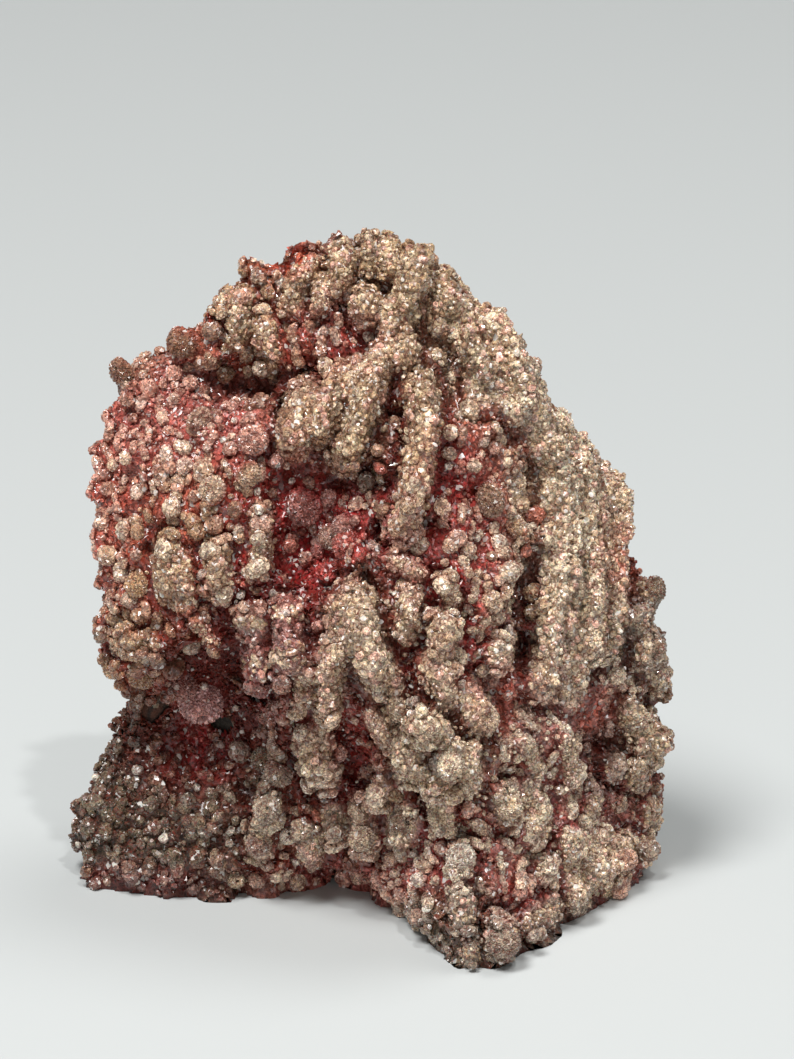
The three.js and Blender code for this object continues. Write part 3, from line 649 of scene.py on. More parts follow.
def ball_model(detail, dent, spike, seed, poked=1, pit=1):
    """Corners and triangles of one ball of radius 1, upright on its seat."""
    random = np.random.default_rng(seed)
    work = bmesh.new()
    bmesh.ops.create_icosphere(work, subdivisions=detail, radius=1)
    for vertex in work.verts:
        vertex.co *= 1 + dent * random.uniform(-1, 1)
    top = max(work.verts, key=lambda vertex: vertex.co.z)
    top.co *= pit
    buried = [vertex for vertex in work.verts if vertex.co.z < UNDERSIDE]
    bmesh.ops.pointmerge(work, verts=buried, merge_co=(0, 0, 1.4 * UNDERSIDE))
    if spike:
        rim = set(top.link_faces) if pit < 1 else set()
        raised = [face for face in work.faces if face.calc_center_median().z > -0.2]
        raised = [face for face in raised if face not in rim and random.random() < poked]
        bmesh.ops.poke(work, faces=raised, offset=spike)
    bmesh.ops.triangulate(work, faces=work.faces)
    bmesh.ops.recalc_face_normals(work, faces=work.faces)
    work.verts.index_update()
    corners = np.array([vertex.co for vertex in work.verts])
    triangles = np.array([[vertex.index for vertex in face.verts] for face in work.faces])
    work.free()
    return corners, triangles


def grain_model(seed):
    """One glassy quartz point: a six-sided spike closed underneath."""
    random = np.random.default_rng(seed)
    work = bmesh.new()
    bmesh.ops.create_cone(work, cap_ends=True, segments=6, radius1=1, radius2=0.12, depth=1.7)
    for vertex in work.verts:
        vertex.co *= 1 + 0.16 * random.uniform(-1, 1)
    bmesh.ops.remove_doubles(work, verts=work.verts, dist=0.14)
    bmesh.ops.triangulate(work, faces=work.faces)
    bmesh.ops.recalc_face_normals(work, faces=work.faces)
    work.verts.index_update()
    corners = np.array([vertex.co for vertex in work.verts])
    triangles = np.array([[vertex.index for vertex in face.verts] for face in work.faces])
    work.free()
    return corners, triangles


VARIANTS = 6
MODELS = {
    "boss": [ball_model(3, 0.07, 0.12, seed) for seed in range(VARIANTS)],
    "pitted": [ball_model(3, 0.06, 0.11, 50 + seed, pit=0.45) for seed in range(VARIANTS)],
    "ball": [ball_model(2, 0.12, 0.17, 10 + seed, poked=0.8) for seed in range(VARIANTS)],
    "bead": [ball_model(2, 0.14, 0.18, 20 + seed, poked=0.5) for seed in range(VARIANTS)],
    "seed": [ball_model(2, 0.17, 0, 30 + seed) for seed in range(VARIANTS)],
    "point": [grain_model(40 + seed) for seed in range(VARIANTS)],
}
for name, models in MODELS.items():
    print(name, "has", len(models[0][1]), "triangles")

# %% [markdown]
# The clearest balls are placed one by one. Each is a place on the face and a radius. A line is
# sent towards the stone from in front, and the ball sits where the line meets the skin, so it
# stays on the stone seen from any side. Small silver crystals go where the stone glitters: painted
# glints.

# %% Balls placed one by one
SINGLE_BALLS = [
    # x, y, radius, colour
    (-18.8, 55.2, 1.5, "brown"), (-16, 56.2, 0.9, "brown"), (-14.8, 52, 1, "tan"),
    (-13, 54, 0.9, "tan"), (-12.8, 59.3, 1, "blush"), (-13.9, 61.2, 0.8, "sand"),
    (-11.9, 51.4, 0.7, "brick"), (-4.8, 52.2, 1, "sand"), (-24.8, 52.2, 1.4, "brown"),
    (-11.4, 48.4, 0.8, "grey"), (-8.2, 49.2, 0.8, "olive"), (-17, 46.8, 1.4, "olive"),
    (-11.8, 45.2, 1.4, "blush"), (-12.1, 47, 0.8, "blush"), (-12.4, 42.1, 1.3, "sand"),
    (-15.7, 40.1, 1.3, "cream"), (-16.7, 42, 1.1, "sand"), (-18.8, 44.4, 0.8, "cream"),
    (-9.6, 42.7, 0.9, "mauve"), (-18.2, 50.8, 0.9, "blush"), (-20.1, 52, 0.8, "blush"),
    (-24.2, 43.6, 0.8, "cream"), (-25.7, 42.8, 0.6, "sand"), (-19.8, 38.6, 1, "cream"),
    (-13.2, 38.4, 0.9, "olive"), (-12.1, 40.4, 0.7, "tan"), (-11.4, 32.8, 1.1, "cream"),
    (-11, 37.2, 0.9, "blush"), (-11.1, 35.5, 0.7, "cream"), (-24.2, 36.4, 1, "cream"),
    (-26.4, 34, 1, "sand"), (-24.8, 32.1, 1, "cream"), (-23.2, 31.1, 1.2, "tan"),
    (-20.2, 34.5, 1, "cream"), (-18.3, 36, 0.9, "coral"), (-15.7, 34, 1.1, "cream"),
    (-14.7, 30.4, 1, "cream"), (-16.5, 31.7, 0.6, "silver"), (-6.7, 38.9, 1.8, "mauve"),
    (-4.2, 39.5, 0.9, "mauve"), (-4.1, 35.8, 1.2, "grey"), (-2.6, 36.9, 1.2, "mauve"),
    (-2.4, 34.9, 1.4, "rose"), (-6.3, 33.3, 0.9, "grey"), (-4.6, 32.3, 1, "crimson"),
    (-27.2, 26.3, 1, "olive"), (-27.2, 23.4, 0.9, "olive"), (-25.5, 27.7, 1.1, "tan"),
    (-22.9, 28, 0.8, "tan"), (-25.9, 22.6, 1.2, "tan"), (-23.1, 22.1, 1.4, "tan"),
    (-26.8, 20.6, 0.8, "tan"), (-24.4, 20.1, 1, "tan"), (-21.3, 23.2, 0.8, "grey"),
    (-18, 25, 0.9, "cream"), (-15.5, 24.8, 0.8, "tan"), (-7.7, 18.8, 1, "sand"),
    (-9, 21.4, 1, "blush"), (-3.8, 14.3, 1, "blush"), (-4.2, 18.2, 1.1, "sand"),
    (9.7, 48.3, 1, "sand"), (7.6, 46, 0.7, "sand"), (7.5, 44, 0.7, "sand"),
    (9.7, 42.8, 0.8, "cream"), (11.8, 44.4, 0.8, "blush"), (11.5, 39.4, 1.6, "olive"),
    (14.3, 38.9, 1.1, "tan"), (13.7, 36.8, 1.2, "tan"), (16.1, 37.7, 1.1, "coral"),
    (7, 38.4, 0.9, "sand"), (4.8, 34.6, 1, "cream"), (9, 34.4, 1, "cream"),
    (14.6, 34.6, 0.8, "ember"), (13.2, 32.4, 1, "cream"), (12.6, 30.6, 1, "sand"),
    (6.9, 31.2, 0.8, "cream"), (11.3, 29.2, 1.1, "sand"), (11.7, 26.5, 0.8, "coral"),
    (16.2, 30.1, 1, "tan"), (16.9, 28.9, 0.9, "tan"), (15.9, 28.2, 0.9, "tan"),
    (3.5, 38.7, 1, "tan"), (2.8, 36.6, 1, "tan"), (1.3, 38.4, 1.1, "tan"),
    (-0.5, 41, 1, "grey"), (1, 42.8, 0.8, "crimson"), (8.4, 23.8, 0.9, "cream"),
    (10.6, 22.9, 0.9, "cream"), (11.5, 21.3, 1, "mauve"), (24.4, 21.5, 0.9, "cream"),
    (24.4, 12.5, 1.1, "grey"), (7.6, 13.4, 1.3, "cream"), (6.2, 13.7, 0.9, "silver"),
    (4.3, 19.2, 0.8, "silver"), (10.9, 17.9, 1.3, "sand"), (7.9, 10.2, 1, "tan"),
    (0.5, 10.2, 1.1, "cream"), (2.5, 10.4, 0.9, "tan"), (-9.4, 12.4, 1.4, "grey"),
    (-11, 13.4, 1.3, "olive"), (-13.4, 14.2, 1.1, "grey"), (-10.7, 8.5, 1.4, "grey"),
    (-11.6, 5, 1.3, "mauve"), (-6.1, 7.6, 0.9, "coral"), (-4, 6.3, 1.1, "grey"),
    (-1.4, 8.3, 1.1, "sand"), (-1.2, 5.6, 1.3, "sand"), (-0.8, 2.5, 0.9, "blush"),
    (2.9, 7.2, 1.3, "grey"), (6.7, 8.2, 1.2, "sand"), (9, 8.9, 0.9, "blush"),
    (8.6, 4, 1.3, "silver"), (7.1, 4.8, 0.9, "blush"), (4.9, 1.7, 0.9, "silver"),
    (13.4, 9, 1.4, "cream"), (17.4, 2.4, 0.9, "cream"), (25.3, 3.2, 1.3, "blush"),
    (28, 3.8, 1.1, "grey"), (24.7, 0.2, 1.1, "blush"), (12.8, -4.3, 1.5, "grey"),
    (28.2, 30.4, 1.2, "olive"), (29.1, 28.1, 1, "grey"), (28.4, 24.4, 1.1, "brown"),
    (-19.4, 21, 1.7, "mauve"), (-19.9, 22.8, 1.2, "rose"), (-21, 20, 1, "mauve"),
    (-22.4, 8.6, 0.9, "olive"), (-27.4, 5.8, 0.9, "olive"), (-16.2, 8.2, 0.9, "olive"),
]
# Painted glints: small silver crystals at the places where the stone glitters, bright under any lamp.
PAINTED_GLINT_CRYSTALS = [
    (-13.6, 49.2), (-13.4, 47.1), (-7.9, 41.3), (-11.2, 40.1), (-11.2, 38.4), (-21.6, 33.5),
    (-22.5, 41.7), (-12.9, 30), (-10, 30.2), (-7.2, 29.3), (-8.2, 28.3), (-13.7, 18.6),
    (9.9, 35.6), (16, 34.8), (7.5, 42.8), (13.5, 26.5), (-0.5, 55.6), (14.2, 53.6), (12.9, 48.4),
    (6.4, 8.6), (4.1, 4), (-9.4, 60.8), (-11.2, 62.6), (3.3, 38.3), (-17.2, 21), (8.6, 21.4),
    (-28, 11), (-24, 12.2), (-21.2, 5.2), (-17.8, 10.4), (-14.6, 6.2), (-30, 4.4), (-8, 3),
]


def on_face(x, y):
    """Where the skin is met, coming from the viewer, and which way it faces there."""
    place, normal, *_ = skin_tree.ray_cast(from_face(x, y, 100), -TOWARDS_VIEWER)
    if place is None:
        place, normal, *_ = skin_tree.find_nearest(from_face(x, y, 10))
    return place, normal


print(len(SINGLE_BALLS), "single balls")

# %% [markdown]
# All the others are scattered. Many places are tried at random on the skin, the largest balls
# first, and one is kept where there is room beside those already there. Packing from large to
# small fills the gaps, as the growing crystals did. Most balls of this stone have grown
# together in strings that hang down the face, so each new ball is the head of a string, which
# runs on down the skin until it is long enough or meets something.

# %% Places to try
random = np.random.default_rng(5)
SEAT_LIMIT = 0.6


def tries(count):
    """Random places on the outer side of the skin, evenly spread over its area."""
    mesh = skin.data
    mesh.calc_loop_triangles()
    corners = numbers(mesh.loop_triangles, "vertices", 3).astype(int)
    area = numbers(mesh.loop_triangles, "area", 1).ravel()
    chosen = corners[random.choice(len(area), count, p=area / area.sum())]
    a, b = np.sqrt(random.random(count)), random.random(count)
    mix = np.column_stack([1 - a, a * (1 - b), a * b])[:, :, None]
    places = (numbers(mesh.vertices, "co", 3)[chosen] * mix).sum(1)
    normals = (numbers(mesh.vertices, "normal", 3)[chosen] * mix).sum(1)
    normals /= np.linalg.norm(normals, axis=1, keepdims=True)
    keep = [
        place[2] > SEAT_LIMIT * MM and not faces_rock(Vector(place), Vector(normal))
        for place, normal in zip(places, normals)
    ]
    return places[keep], normals[keep]


places, normals = tries(20000)
print(len(places), "of 20000 tries are on the outer side")

# %% What is placed so far
CELL = 2.6 * MM


class Packing:
    """Everything placed so far, kept in a coarse grid so that neighbours are found quickly."""

    def __init__(self):
        self.cells = {}
        self.rows = []

    def has_room(self, place, radius, spacing):
        i, j, k = (int(c // CELL) for c in place)
        for di in (-1, 0, 1):
            for dj in (-1, 0, 1):
                for dk in (-1, 0, 1):
                    for x, y, z, other in self.cells.get((i + di, j + dj, k + dk), ()):
                        reach = spacing * (radius + other)
                        gap = (x - place[0]) ** 2 + (y - place[1]) ** 2 + (z - place[2]) ** 2
                        if gap < reach * reach:
                            return False
        return True

    def add(self, sort, place, normal, radius, colour=None):
        key = tuple(int(c // CELL) for c in place)
        self.cells.setdefault(key, []).append((*place, radius))
        self.rows.append((sort, tuple(place), tuple(normal), radius, colour))


packing = Packing()

# %% Lay the single balls
PITTED_BALLS = [
    # x, y, radius, colour, and where on it the pit lies: right, up and towards the viewer
    (-17.3, 19.2, 2.4, "lilac", (0.25, -0.7, 0.65)),
    (-8.5, 5.6, 1, "silver", (-0.1, 0.1, 1)),
    (-14, 0.9, 1, "sand", (0.2, -0.1, 1)),
]
for x, y, radius, colour in SINGLE_BALLS:
    place, normal = on_face(x, y)
    sort = "boss" if radius > 1.15 else "ball"
    packing.add(sort, place + normal * (0.5 - 0.25 * radius) * MM, normal, radius * MM, colour)
# Painted glints: silver seeds at these places.
for x, y in PAINTED_GLINT_CRYSTALS:
    place, normal = on_face(x, y)
    packing.add("seed", place + normal * 0.2 * MM, normal, random.uniform(0.35, 0.6) * MM, "silver")
for x, y, radius, colour, pit in PITTED_BALLS:
    place, normal = on_face(x, y)
    towards_pit = Vector(np.array(pit) @ FACE_AXES).normalized()
    seat = place + TOWARDS_VIEWER * 0.55 * radius * MM
    packing.add("pitted", seat, towards_pit, radius * MM, colour)
print(len(packing.rows), "balls placed by hand")

# %% Cover the rods with lumps
LUMPS_TRIED = 46
LUMP_SHARE = (0.2, 0.38)
LUMP_SPACING = 0.68
ROD_COLOURS = ["tan", "tan", "sand", "brown", "sand", "blush"]


def cover_rod(radius, route):
    """Small fused balls all over the side of a rod that shows, from tip to tip."""
    route = np.array(route, float)
    walked = np.concatenate([[0], np.cumsum(np.linalg.norm(np.diff(route, axis=0), axis=1))])
    for _ in range(round(LUMPS_TRIED * (walked[-1] / radius + 1))):
        along = random.uniform(0, walked[-1])
        x, y = (np.interp(along, walked, route[:, axis]) for axis in (0, 1))
        place, normal = on_face(x + radius * random.uniform(-1, 1), y)
        size = radius * random.uniform(*LUMP_SHARE) * MM
        if place.z > SEAT_LIMIT * MM and packing.has_room(place, size, LUMP_SPACING):
            place = place - 0.25 * size * normal
            packing.add("seed", place, normal, size, random.choice(ROD_COLOURS))


for _, radius, *route in RODS:
    cover_rod(radius, route)
print(len(packing.rows), "with the lumps of the rods")

# %% Pack the rest
SORTS = [
    # model, least and greatest radius in mm, tries, spacing
    ("ball", 0.66, 0.98, 9000, 0.78),
    ("bead", 0.42, 0.66, 12000, 0.8),
    ("seed", 0.24, 0.4, 20000, 0.84),
    ("point", 0.2, 0.4, 60000, 0.74),
]
STRING_STEP = 1.05
WANDER = 0.3
CLUMP = 1.2
STRING_REACH = {"ball": 3.4, "bead": 2.6, "seed": 0, "point": 0}


def string_from(place, normal, radius, length, spacing):
    """Places of the balls of one string, from its head down the skin."""
    place, normal = Vector(place), Vector(normal)
    aside = random.normal(0, WANDER)
    members, walked = [], 0
    while not members or walked < length:
        size = radius * random.uniform(0.84, 1.1)
        if place.z < SEAT_LIMIT * MM or not packing.has_room(place, size, spacing):
            break
        members.append((place.copy(), normal.copy(), size))
        down = Vector(-FACE_AXES[1] + aside * FACE_AXES[0])
        down = (down - normal * down.dot(normal)).normalized()
        place, slope, face, _ = skin_tree.find_nearest(place + down * STRING_STEP * radius)
        normal = (normal + slope).normalized()
        walked += STRING_STEP * radius
        if deep_faces[face]:
            break
    return members


def clumps(places):
    """A cloudy value from 0 to 1 at each place, evenly shared out, so that a cover can be cut."""
    cloud = [noise.noise(Vector(place) / (CLUMP * MM)) for place in places]
    return (np.argsort(np.argsort(cloud)) + 0.5) / len(cloud)


def depth_at(places):
    _, gutter, on_rod = rods_near(places)
    return np.maximum(gutter, hollow_at(to_face(places)) * (1 - on_rod))


deep_faces = depth_at(np.array([face.center for face in skin.data.polygons])) > 0.9
for sort, least, most, count, spacing in SORTS:
    places, normals = tries(count)
    mixed = shares(places)
    depth = depth_at(places)
    if sort == "point":
        cover = np.ones(len(places))
    elif sort == "seed":
        cover = np.clip(0.3 + mixed @ FROST - 0.4 * depth, 0.1, 1)
    else:
        cover = mixed @ (LARGE if sort == "ball" else COVER)
        cover[depth > (0.5 if sort == "ball" else 0.8)] = 0
    radii = (least + (most - least) * random.random(len(places)) ** 1.4) * MM
    wanted = clumps(places) < cover
    lengths = STRING_REACH[sort] * MM * random.random(len(places)) ** 1.5
    for place, normal, radius, length in zip(
        places[wanted], normals[wanted], radii[wanted], lengths[wanted]
    ):
        for member in string_from(place, normal, radius, length, spacing):
            packing.add(sort, *member)
kinds = [row[0] for row in packing.rows]
print({sort: kinds.count(sort) for sort in MODELS})

# %% [markdown]
# Copies of the models are joined into a few meshes. numpy turns, scales and moves all corners
# of a model at once, which takes seconds for most of a million triangles. Each copy is spun at
# random round its own upright line. Its colour runs from the ground colour at its foot to its
# own colour on top, because light shines through its thin edge into the red below. Corners
# that lie deeper between the points get painted shade, those that stand out get painted light,
# and the pit of a pitted ball is painted almost black as shade.

# %% Join the copies
SPREAD_OF_TINT = 0.25
TINGES = [("cream", 0.22), ("brown", 0.24), ("blush", 0.14), ("silver", 0.08)]
LIFT = {"boss": 0, "pitted": 0, "ball": 0.28, "bead": 0.3, "seed": 0.3, "point": 0.25}
LEANING = {"boss": 0.1, "pitted": 0, "ball": 0.15, "bead": 0.25, "seed": 0.3, "point": 0.55}
DEPTH_SHADE = 2.2
GLINTS = 0.04
STRETCH = (0.84, 1.16)


def turned(normals, lean):
    """A random upright turn for each normal, as a matrix whose columns are its three axes."""
    up = normals + lean * random.normal(size=normals.shape)
    up /= np.linalg.norm(up, axis=1, keepdims=True)
    side = np.cross(up, random.normal(size=normals.shape))
    side /= np.linalg.norm(side, axis=1, keepdims=True)
    return np.stack([side, np.cross(up, side), up], axis=2)


def own_tints(places, normals, colours):
    tint = shares(places) @ BALL
    pick = random.random(len(places))
    low = 0.0
    for name, chance in TINGES:
        chosen = (pick >= low) & (pick < low + chance)
        level = np.clip(tint[chosen].sum(1, keepdims=True) / TINTS["tan"].sum(), 0.2, 1)
        tint[chosen] = 0.6 * tint[chosen] + 0.4 * TINTS[name] * level
        low += chance
    for i, colour in enumerate(colours):
        if colour:
            tint[i] = 0.3 * tint[i] + 0.7 * TINTS[colour]
    behind = np.clip(-1.6 * facing(normals) - 0.1, 0, 0.7)[:, None]
    tint = tint * (1 - behind) + TINTS["brown"] * behind
    return tint * (1 + SPREAD_OF_TINT * random.uniform(-1, 1, (len(places), 1)))


def joined(name, rows):
    """One mesh of all these balls."""
    corner_sets, triangle_sets, tint_sets = [], [], []
    first = 0
    for sort, models in MODELS.items():
        mine = [row for row in rows if row[0] == sort]
        if not mine:
            continue
        places, normals = np.array([row[1] for row in mine]), np.array([row[2] for row in mine])
        radii = np.array([row[3] for row in mine])
        axes = turned(normals, LEANING[sort]) * random.uniform(*STRETCH, (len(mine), 1, 3))
        by_hand = np.array([row[4] is not None for row in mine])
        seats = places + normals * (LIFT[sort] * radii * ~by_hand)[:, None]
        foot = ground_tint(places, normals)
        frost = (shares(places) @ FROST)[:, None]
        paler = np.clip(0.75 * frost + 0.5 * random.uniform(-1, 1, frost.shape), 0, 1)
        lit = np.clip((foot.sum(1, keepdims=True) - 0.1) / 0.3, 0.1, 1)
        pinker = 0.3 * lit * random.random(frost.shape)
        top = foot * random.uniform(0.7, 1.6, frost.shape) * (1 - pinker) + TINTS["blush"] * pinker
        top = top * (1 - paler) + (shares(places) @ BALL) * paler
        bright = random.random(len(mine)) < GLINTS * np.clip(top.sum(1), 0, 1)
        top[bright] = TINTS["silver"] * 1.3
        if sort not in ("point", "seed"):
            top = 0.85 * own_tints(places, normals, [row[4] for row in mine]) + 0.15 * foot
        elif sort == "seed":
            own = own_tints(places, normals, [row[4] for row in mine])
            paler = np.where(by_hand[:, None], 1, paler)
            top = top * (1 - paler) + own * paler
        for variant, (corners, triangles) in enumerate(models):
            part = np.arange(variant, len(mine), len(models))
            moved = np.einsum("nij,kj->nki", axes[part], corners) * radii[part][:, None, None]
            moved += seats[part][:, None, :]
            height = np.clip((corners[:, 2] + 0.35) / 0.85, sort == "pitted", 1)[None, :, None]
            tint = foot[part][:, None, :] * (1 - height) + top[part][:, None, :] * height
            stand = np.linalg.norm(corners, axis=1)
            # Painted shade: the pit of a pitted ball goes almost black.
            darkest = 0.03 if sort == "pitted" else 0.5
            shade = np.clip(1 + DEPTH_SHADE * (stand - np.median(stand)), darkest, 1.4)
            tint = tint * shade[None, :, None]
            numbered = triangles[None] + (first + np.arange(len(part)) * len(corners))[:, None, None]
            corner_sets.append(moved.reshape(-1, 3))
            tint_sets.append(tint.reshape(-1, 3))
            triangle_sets.append(numbered.reshape(-1, 3))
            first += len(part) * len(corners)
    corners, triangles = np.concatenate(corner_sets), np.concatenate(triangle_sets)
    corners[:, 2] = np.maximum(corners[:, 2], 0)
    mesh = bpy.data.meshes.new(name)
    mesh.from_pydata(corners, [], triangles)
    store(mesh, "tint", "FLOAT_COLOR", "POINT", np.concatenate(tint_sets))
    store(mesh, "facet", "FLOAT", "FACE", random.random(len(triangles)))
    piece = bpy.data.objects.new(name, mesh)
    bpy.context.scene.collection.objects.link(piece)
    print(name, len(rows), "copies,", triangle_count(piece), "triangles")
    return piece


def district(row):
    x, y, _ = to_face([row[1]])[0]
    if row[0] == "point":
        return "grains_left" if x < 0 else "grains_right"
    if y > 48.5:
        return "balls_of_the_crown"
    if x < -8:
        return "balls_of_the_left_lobe" if y > 16 else "balls_of_the_foot"
    if y < 16:
        return "balls_of_the_lower_edge"
    return "balls_of_the_middle" if x < 14 else "balls_of_the_right_flank"


districts = {}
for row in packing.rows:
    districts.setdefault(district(row), []).append(row)
druse = [joined(name, rows) for name, rows in sorted(districts.items())]

# %% [markdown]
# Materials. One small function adds a node, with its settings, and with its inputs given as
# plain values or as another node's output.

# %% Add a node


def add_node(material, kind, settings=None, inputs=None):
    node = material.node_tree.nodes.new(kind)
    for name, value in (settings or {}).items():
        setattr(node, name, value)
    for name, value in (inputs or {}).items():
        if isinstance(value, bpy.types.NodeSocket):
            material.node_tree.links.new(value, node.inputs[name])
        else:
            node.inputs[name].default_value = value
    return node


def new_material(name):
    material = bpy.data.materials.new(name)
    material.use_nodes = True
    material.node_tree.nodes.clear()
    return material


def per_metre(size):
    """The scale that makes a pattern repeat every so many millimetres."""
    return 1 / (size * MM)


# %% [markdown]
# Chalcedony: microcrystalline quartz whose outer layer grew into visible points. Quartz has an
# index of 1.54. Light goes a little way in and comes out again, which rounds off the shading,
# and every point has flat shiny faces, which make the glitter. The cells of a Voronoi pattern
# stand for the points: each has its own brightness and slope, some have pale edges where two
# points meet, as a painted highlight, others have brown cracks stained with iron, and a few are
# painted white as painted glints. Where the tint is dark, mostly the painted shade of gutters
# and hollows, the points get less gloss. The druse on the balls and the glassy crystals of the
# hollows are the same mineral, so one function makes both.

# %% Chalcedony
QUARTZ = 1.54


def chalcedony(name, size, levels, edges_shown, tilt, stains, depth, glow):
    """Quartz points of one size in mm. Levels are the darkest and the brightest point, the tilt
    is how far their faces turn, stains is how much iron there is between them, and the depth in
    mm and the glow say how light sinks in."""
    material = new_material(name)
    where = add_node(material, "ShaderNodeTexCoord").outputs["Object"]
    tint = add_node(material, "ShaderNodeAttribute", {"attribute_name": "tint"}).outputs["Color"]
    facet = add_node(material, "ShaderNodeAttribute", {"attribute_name": "facet"}).outputs["Fac"]
    wobble = add_node(
        material, "ShaderNodeTexNoise", None, {"Vector": where, "Scale": per_metre(2 * size)}
    )
    shift = add_node(
        material, "ShaderNodeVectorMath", {"operation": "MULTIPLY_ADD"},
        {0: wobble.outputs["Color"], 1: [size * MM] * 3, 2: where},
    )
    cells = add_node(
        material, "ShaderNodeTexVoronoi", None,
        {"Vector": shift.outputs["Vector"], "Scale": per_metre(size)},
    )
    borders = add_node(
        material, "ShaderNodeTexVoronoi", {"feature": "DISTANCE_TO_EDGE"},
        {"Vector": shift.outputs["Vector"], "Scale": per_metre(size)},
    )
    specks = add_node(
        material, "ShaderNodeTexVoronoi", None,
        {"Vector": shift.outputs["Vector"], "Scale": per_metre(0.58 * size)},
    )
    chance = add_node(
        material, "ShaderNodeSeparateColor", None, {"Color": cells.outputs["Color"]}
    )
    level = add_node(
        material, "ShaderNodeMapRange", {"interpolation_type": "SMOOTHSTEP"},
        {"Value": specks.outputs["Color"], "From Min": 0.2, "From Max": 0.8,
         "To Min": levels[0], "To Max": levels[1]},
    )
    shade = add_node(
        material, "ShaderNodeMapRange", None, {"Value": facet, "To Min": 0.76, "To Max": 1.26}
    )
    brightness = add_node(
        material, "ShaderNodeMath", {"operation": "MULTIPLY"},
        {0: level.outputs["Result"], 1: shade.outputs["Result"]},
    )
    body = add_node(
        material, "ShaderNodeVectorMath", {"operation": "SCALE"},
        {0: tint, "Scale": brightness.outputs["Value"]},
    )
    iron = add_node(
        material, "ShaderNodeTexNoise", None,
        {"Vector": where, "Scale": per_metre(1), "Detail": 4, "Roughness": 0.7},
    )
    rusty = add_node(
        material, "ShaderNodeMapRange", None,
        {"Value": iron.outputs["Fac"], "From Min": 0.5, "From Max": 0.66, "To Max": stains},
    )
    edge = add_node(
        material, "ShaderNodeMapRange", None,
        {"Value": borders.outputs["Distance"], "From Min": 0.03, "From Max": 0.18,
         "To Min": 1, "To Max": 0},
    )
    cracked = add_node(
        material, "ShaderNodeMapRange", None,
        {"Value": chance.outputs["Green"], "From Min": 0.4, "From Max": 0.6,
         "To Min": 0.7, "To Max": 0},
    )
    crack = add_node(
        material, "ShaderNodeMath", {"operation": "MULTIPLY_ADD"},
        {0: edge.outputs["Result"], 1: cracked.outputs["Result"], 2: rusty.outputs["Result"]},
    )
    stained = add_node(
        material, "ShaderNodeMix", {"data_type": "RGBA"},
        {0: crack.outputs["Value"], 6: body.outputs["Vector"], 7: (*linear("#6c2a1e"), 1)},
    )
    some_edges = add_node(
        material, "ShaderNodeMapRange", None,
        {"Value": chance.outputs["Green"], "From Min": 0.5, "From Max": 0.8, "To Max": edges_shown},
    )
    # Painted highlight: some crystal edges are mixed towards a paler tint.
    pale_edge = add_node(
        material, "ShaderNodeMath", {"operation": "MULTIPLY"},
        {0: edge.outputs["Result"], 1: some_edges.outputs["Result"]},
    )
    lighter = add_node(
        material, "ShaderNodeVectorMath", {"operation": "MULTIPLY_ADD"},
        {0: tint, 1: (1.8, 1.65, 1.5), 2: (0.08, 0.065, 0.05)},
    )
    edged = add_node(
        material, "ShaderNodeMix", {"data_type": "RGBA"},
        {0: pale_edge.outputs["Value"], 6: stained.outputs[2], 7: lighter.outputs["Vector"]},
    )
    # Painted glints: a few cells are mixed towards near white.
    glint = add_node(
        material, "ShaderNodeMapRange", None,
        {"Value": chance.outputs["Blue"], "From Min": 0.965, "From Max": 0.975, "To Max": 0.6},
    )
    coloured = add_node(
        material, "ShaderNodeMix", {"data_type": "RGBA"},
        {0: glint.outputs["Result"], 6: edged.outputs[2], 7: (*linear("#f2ece4"), 1)},
    )
    slope = add_node(
        material, "ShaderNodeVectorMath", {"operation": "MULTIPLY_ADD"},
        {0: cells.outputs["Color"], 1: [2 * tilt] * 3, 2: [-tilt] * 3},
    )
    own_normal = add_node(
        material, "ShaderNodeVectorMath", {"operation": "ADD"},
        {0: add_node(material, "ShaderNodeNewGeometry").outputs["Normal"], 1: slope.outputs["Vector"]},
    )
    face_normal = add_node(
        material, "ShaderNodeVectorMath", {"operation": "NORMALIZE"},
        {0: own_normal.outputs["Vector"]},
    )
    # Less coat and specular gloss where the tint is dark, so painted shade loses its reflections.
    gloss_out_of_shade = add_node(
        material, "ShaderNodeMapRange", None,
        {"Value": tint, "From Min": 0.01, "From Max": 0.08, "To Min": 0.2},
    )
    coat = add_node(
        material, "ShaderNodeMath", {"operation": "MULTIPLY"}, {0: gloss_out_of_shade.outputs["Result"], 1: 0.45}
    )
    polish = add_node(
        material, "ShaderNodeMath", {"operation": "MULTIPLY"}, {0: gloss_out_of_shade.outputs["Result"], 1: 0.5}
    )
    surface = add_node(
        material,
        "ShaderNodeBsdfPrincipled",
        None,
        {
            "Base Color": coloured.outputs[2],
            "Roughness": 0.25,
            "IOR": QUARTZ,
            "Specular IOR Level": polish.outputs["Value"],
            "Subsurface Weight": glow,
            "Subsurface Radius": (1.0, 0.4, 0.25),
            "Subsurface Scale": depth * MM,
            "Coat Weight": coat.outputs["Value"],
            "Coat Roughness": 0.06,
            "Normal": face_normal.outputs["Vector"],
        },
    )
    add_node(material, "ShaderNodeOutputMaterial", None, {"Surface": surface.outputs["BSDF"]})
    return material


# %% [markdown]
# The rock: a dull, fine-grained, weathered stone. It has no gloss. Its colour is mottled over
# several millimetres by weathering, and over tenths of a millimetre by its grains: some pale,
# some black. It is paler where its surface stands out and darker where it lies low; rock that
# faces the viewer, as in the cave, counts as low and so gets painted shade, almost black. Iron
# has washed rusty films over it, and a few thin veins of chalcedony run through its cracks.

# %% Weathered rock


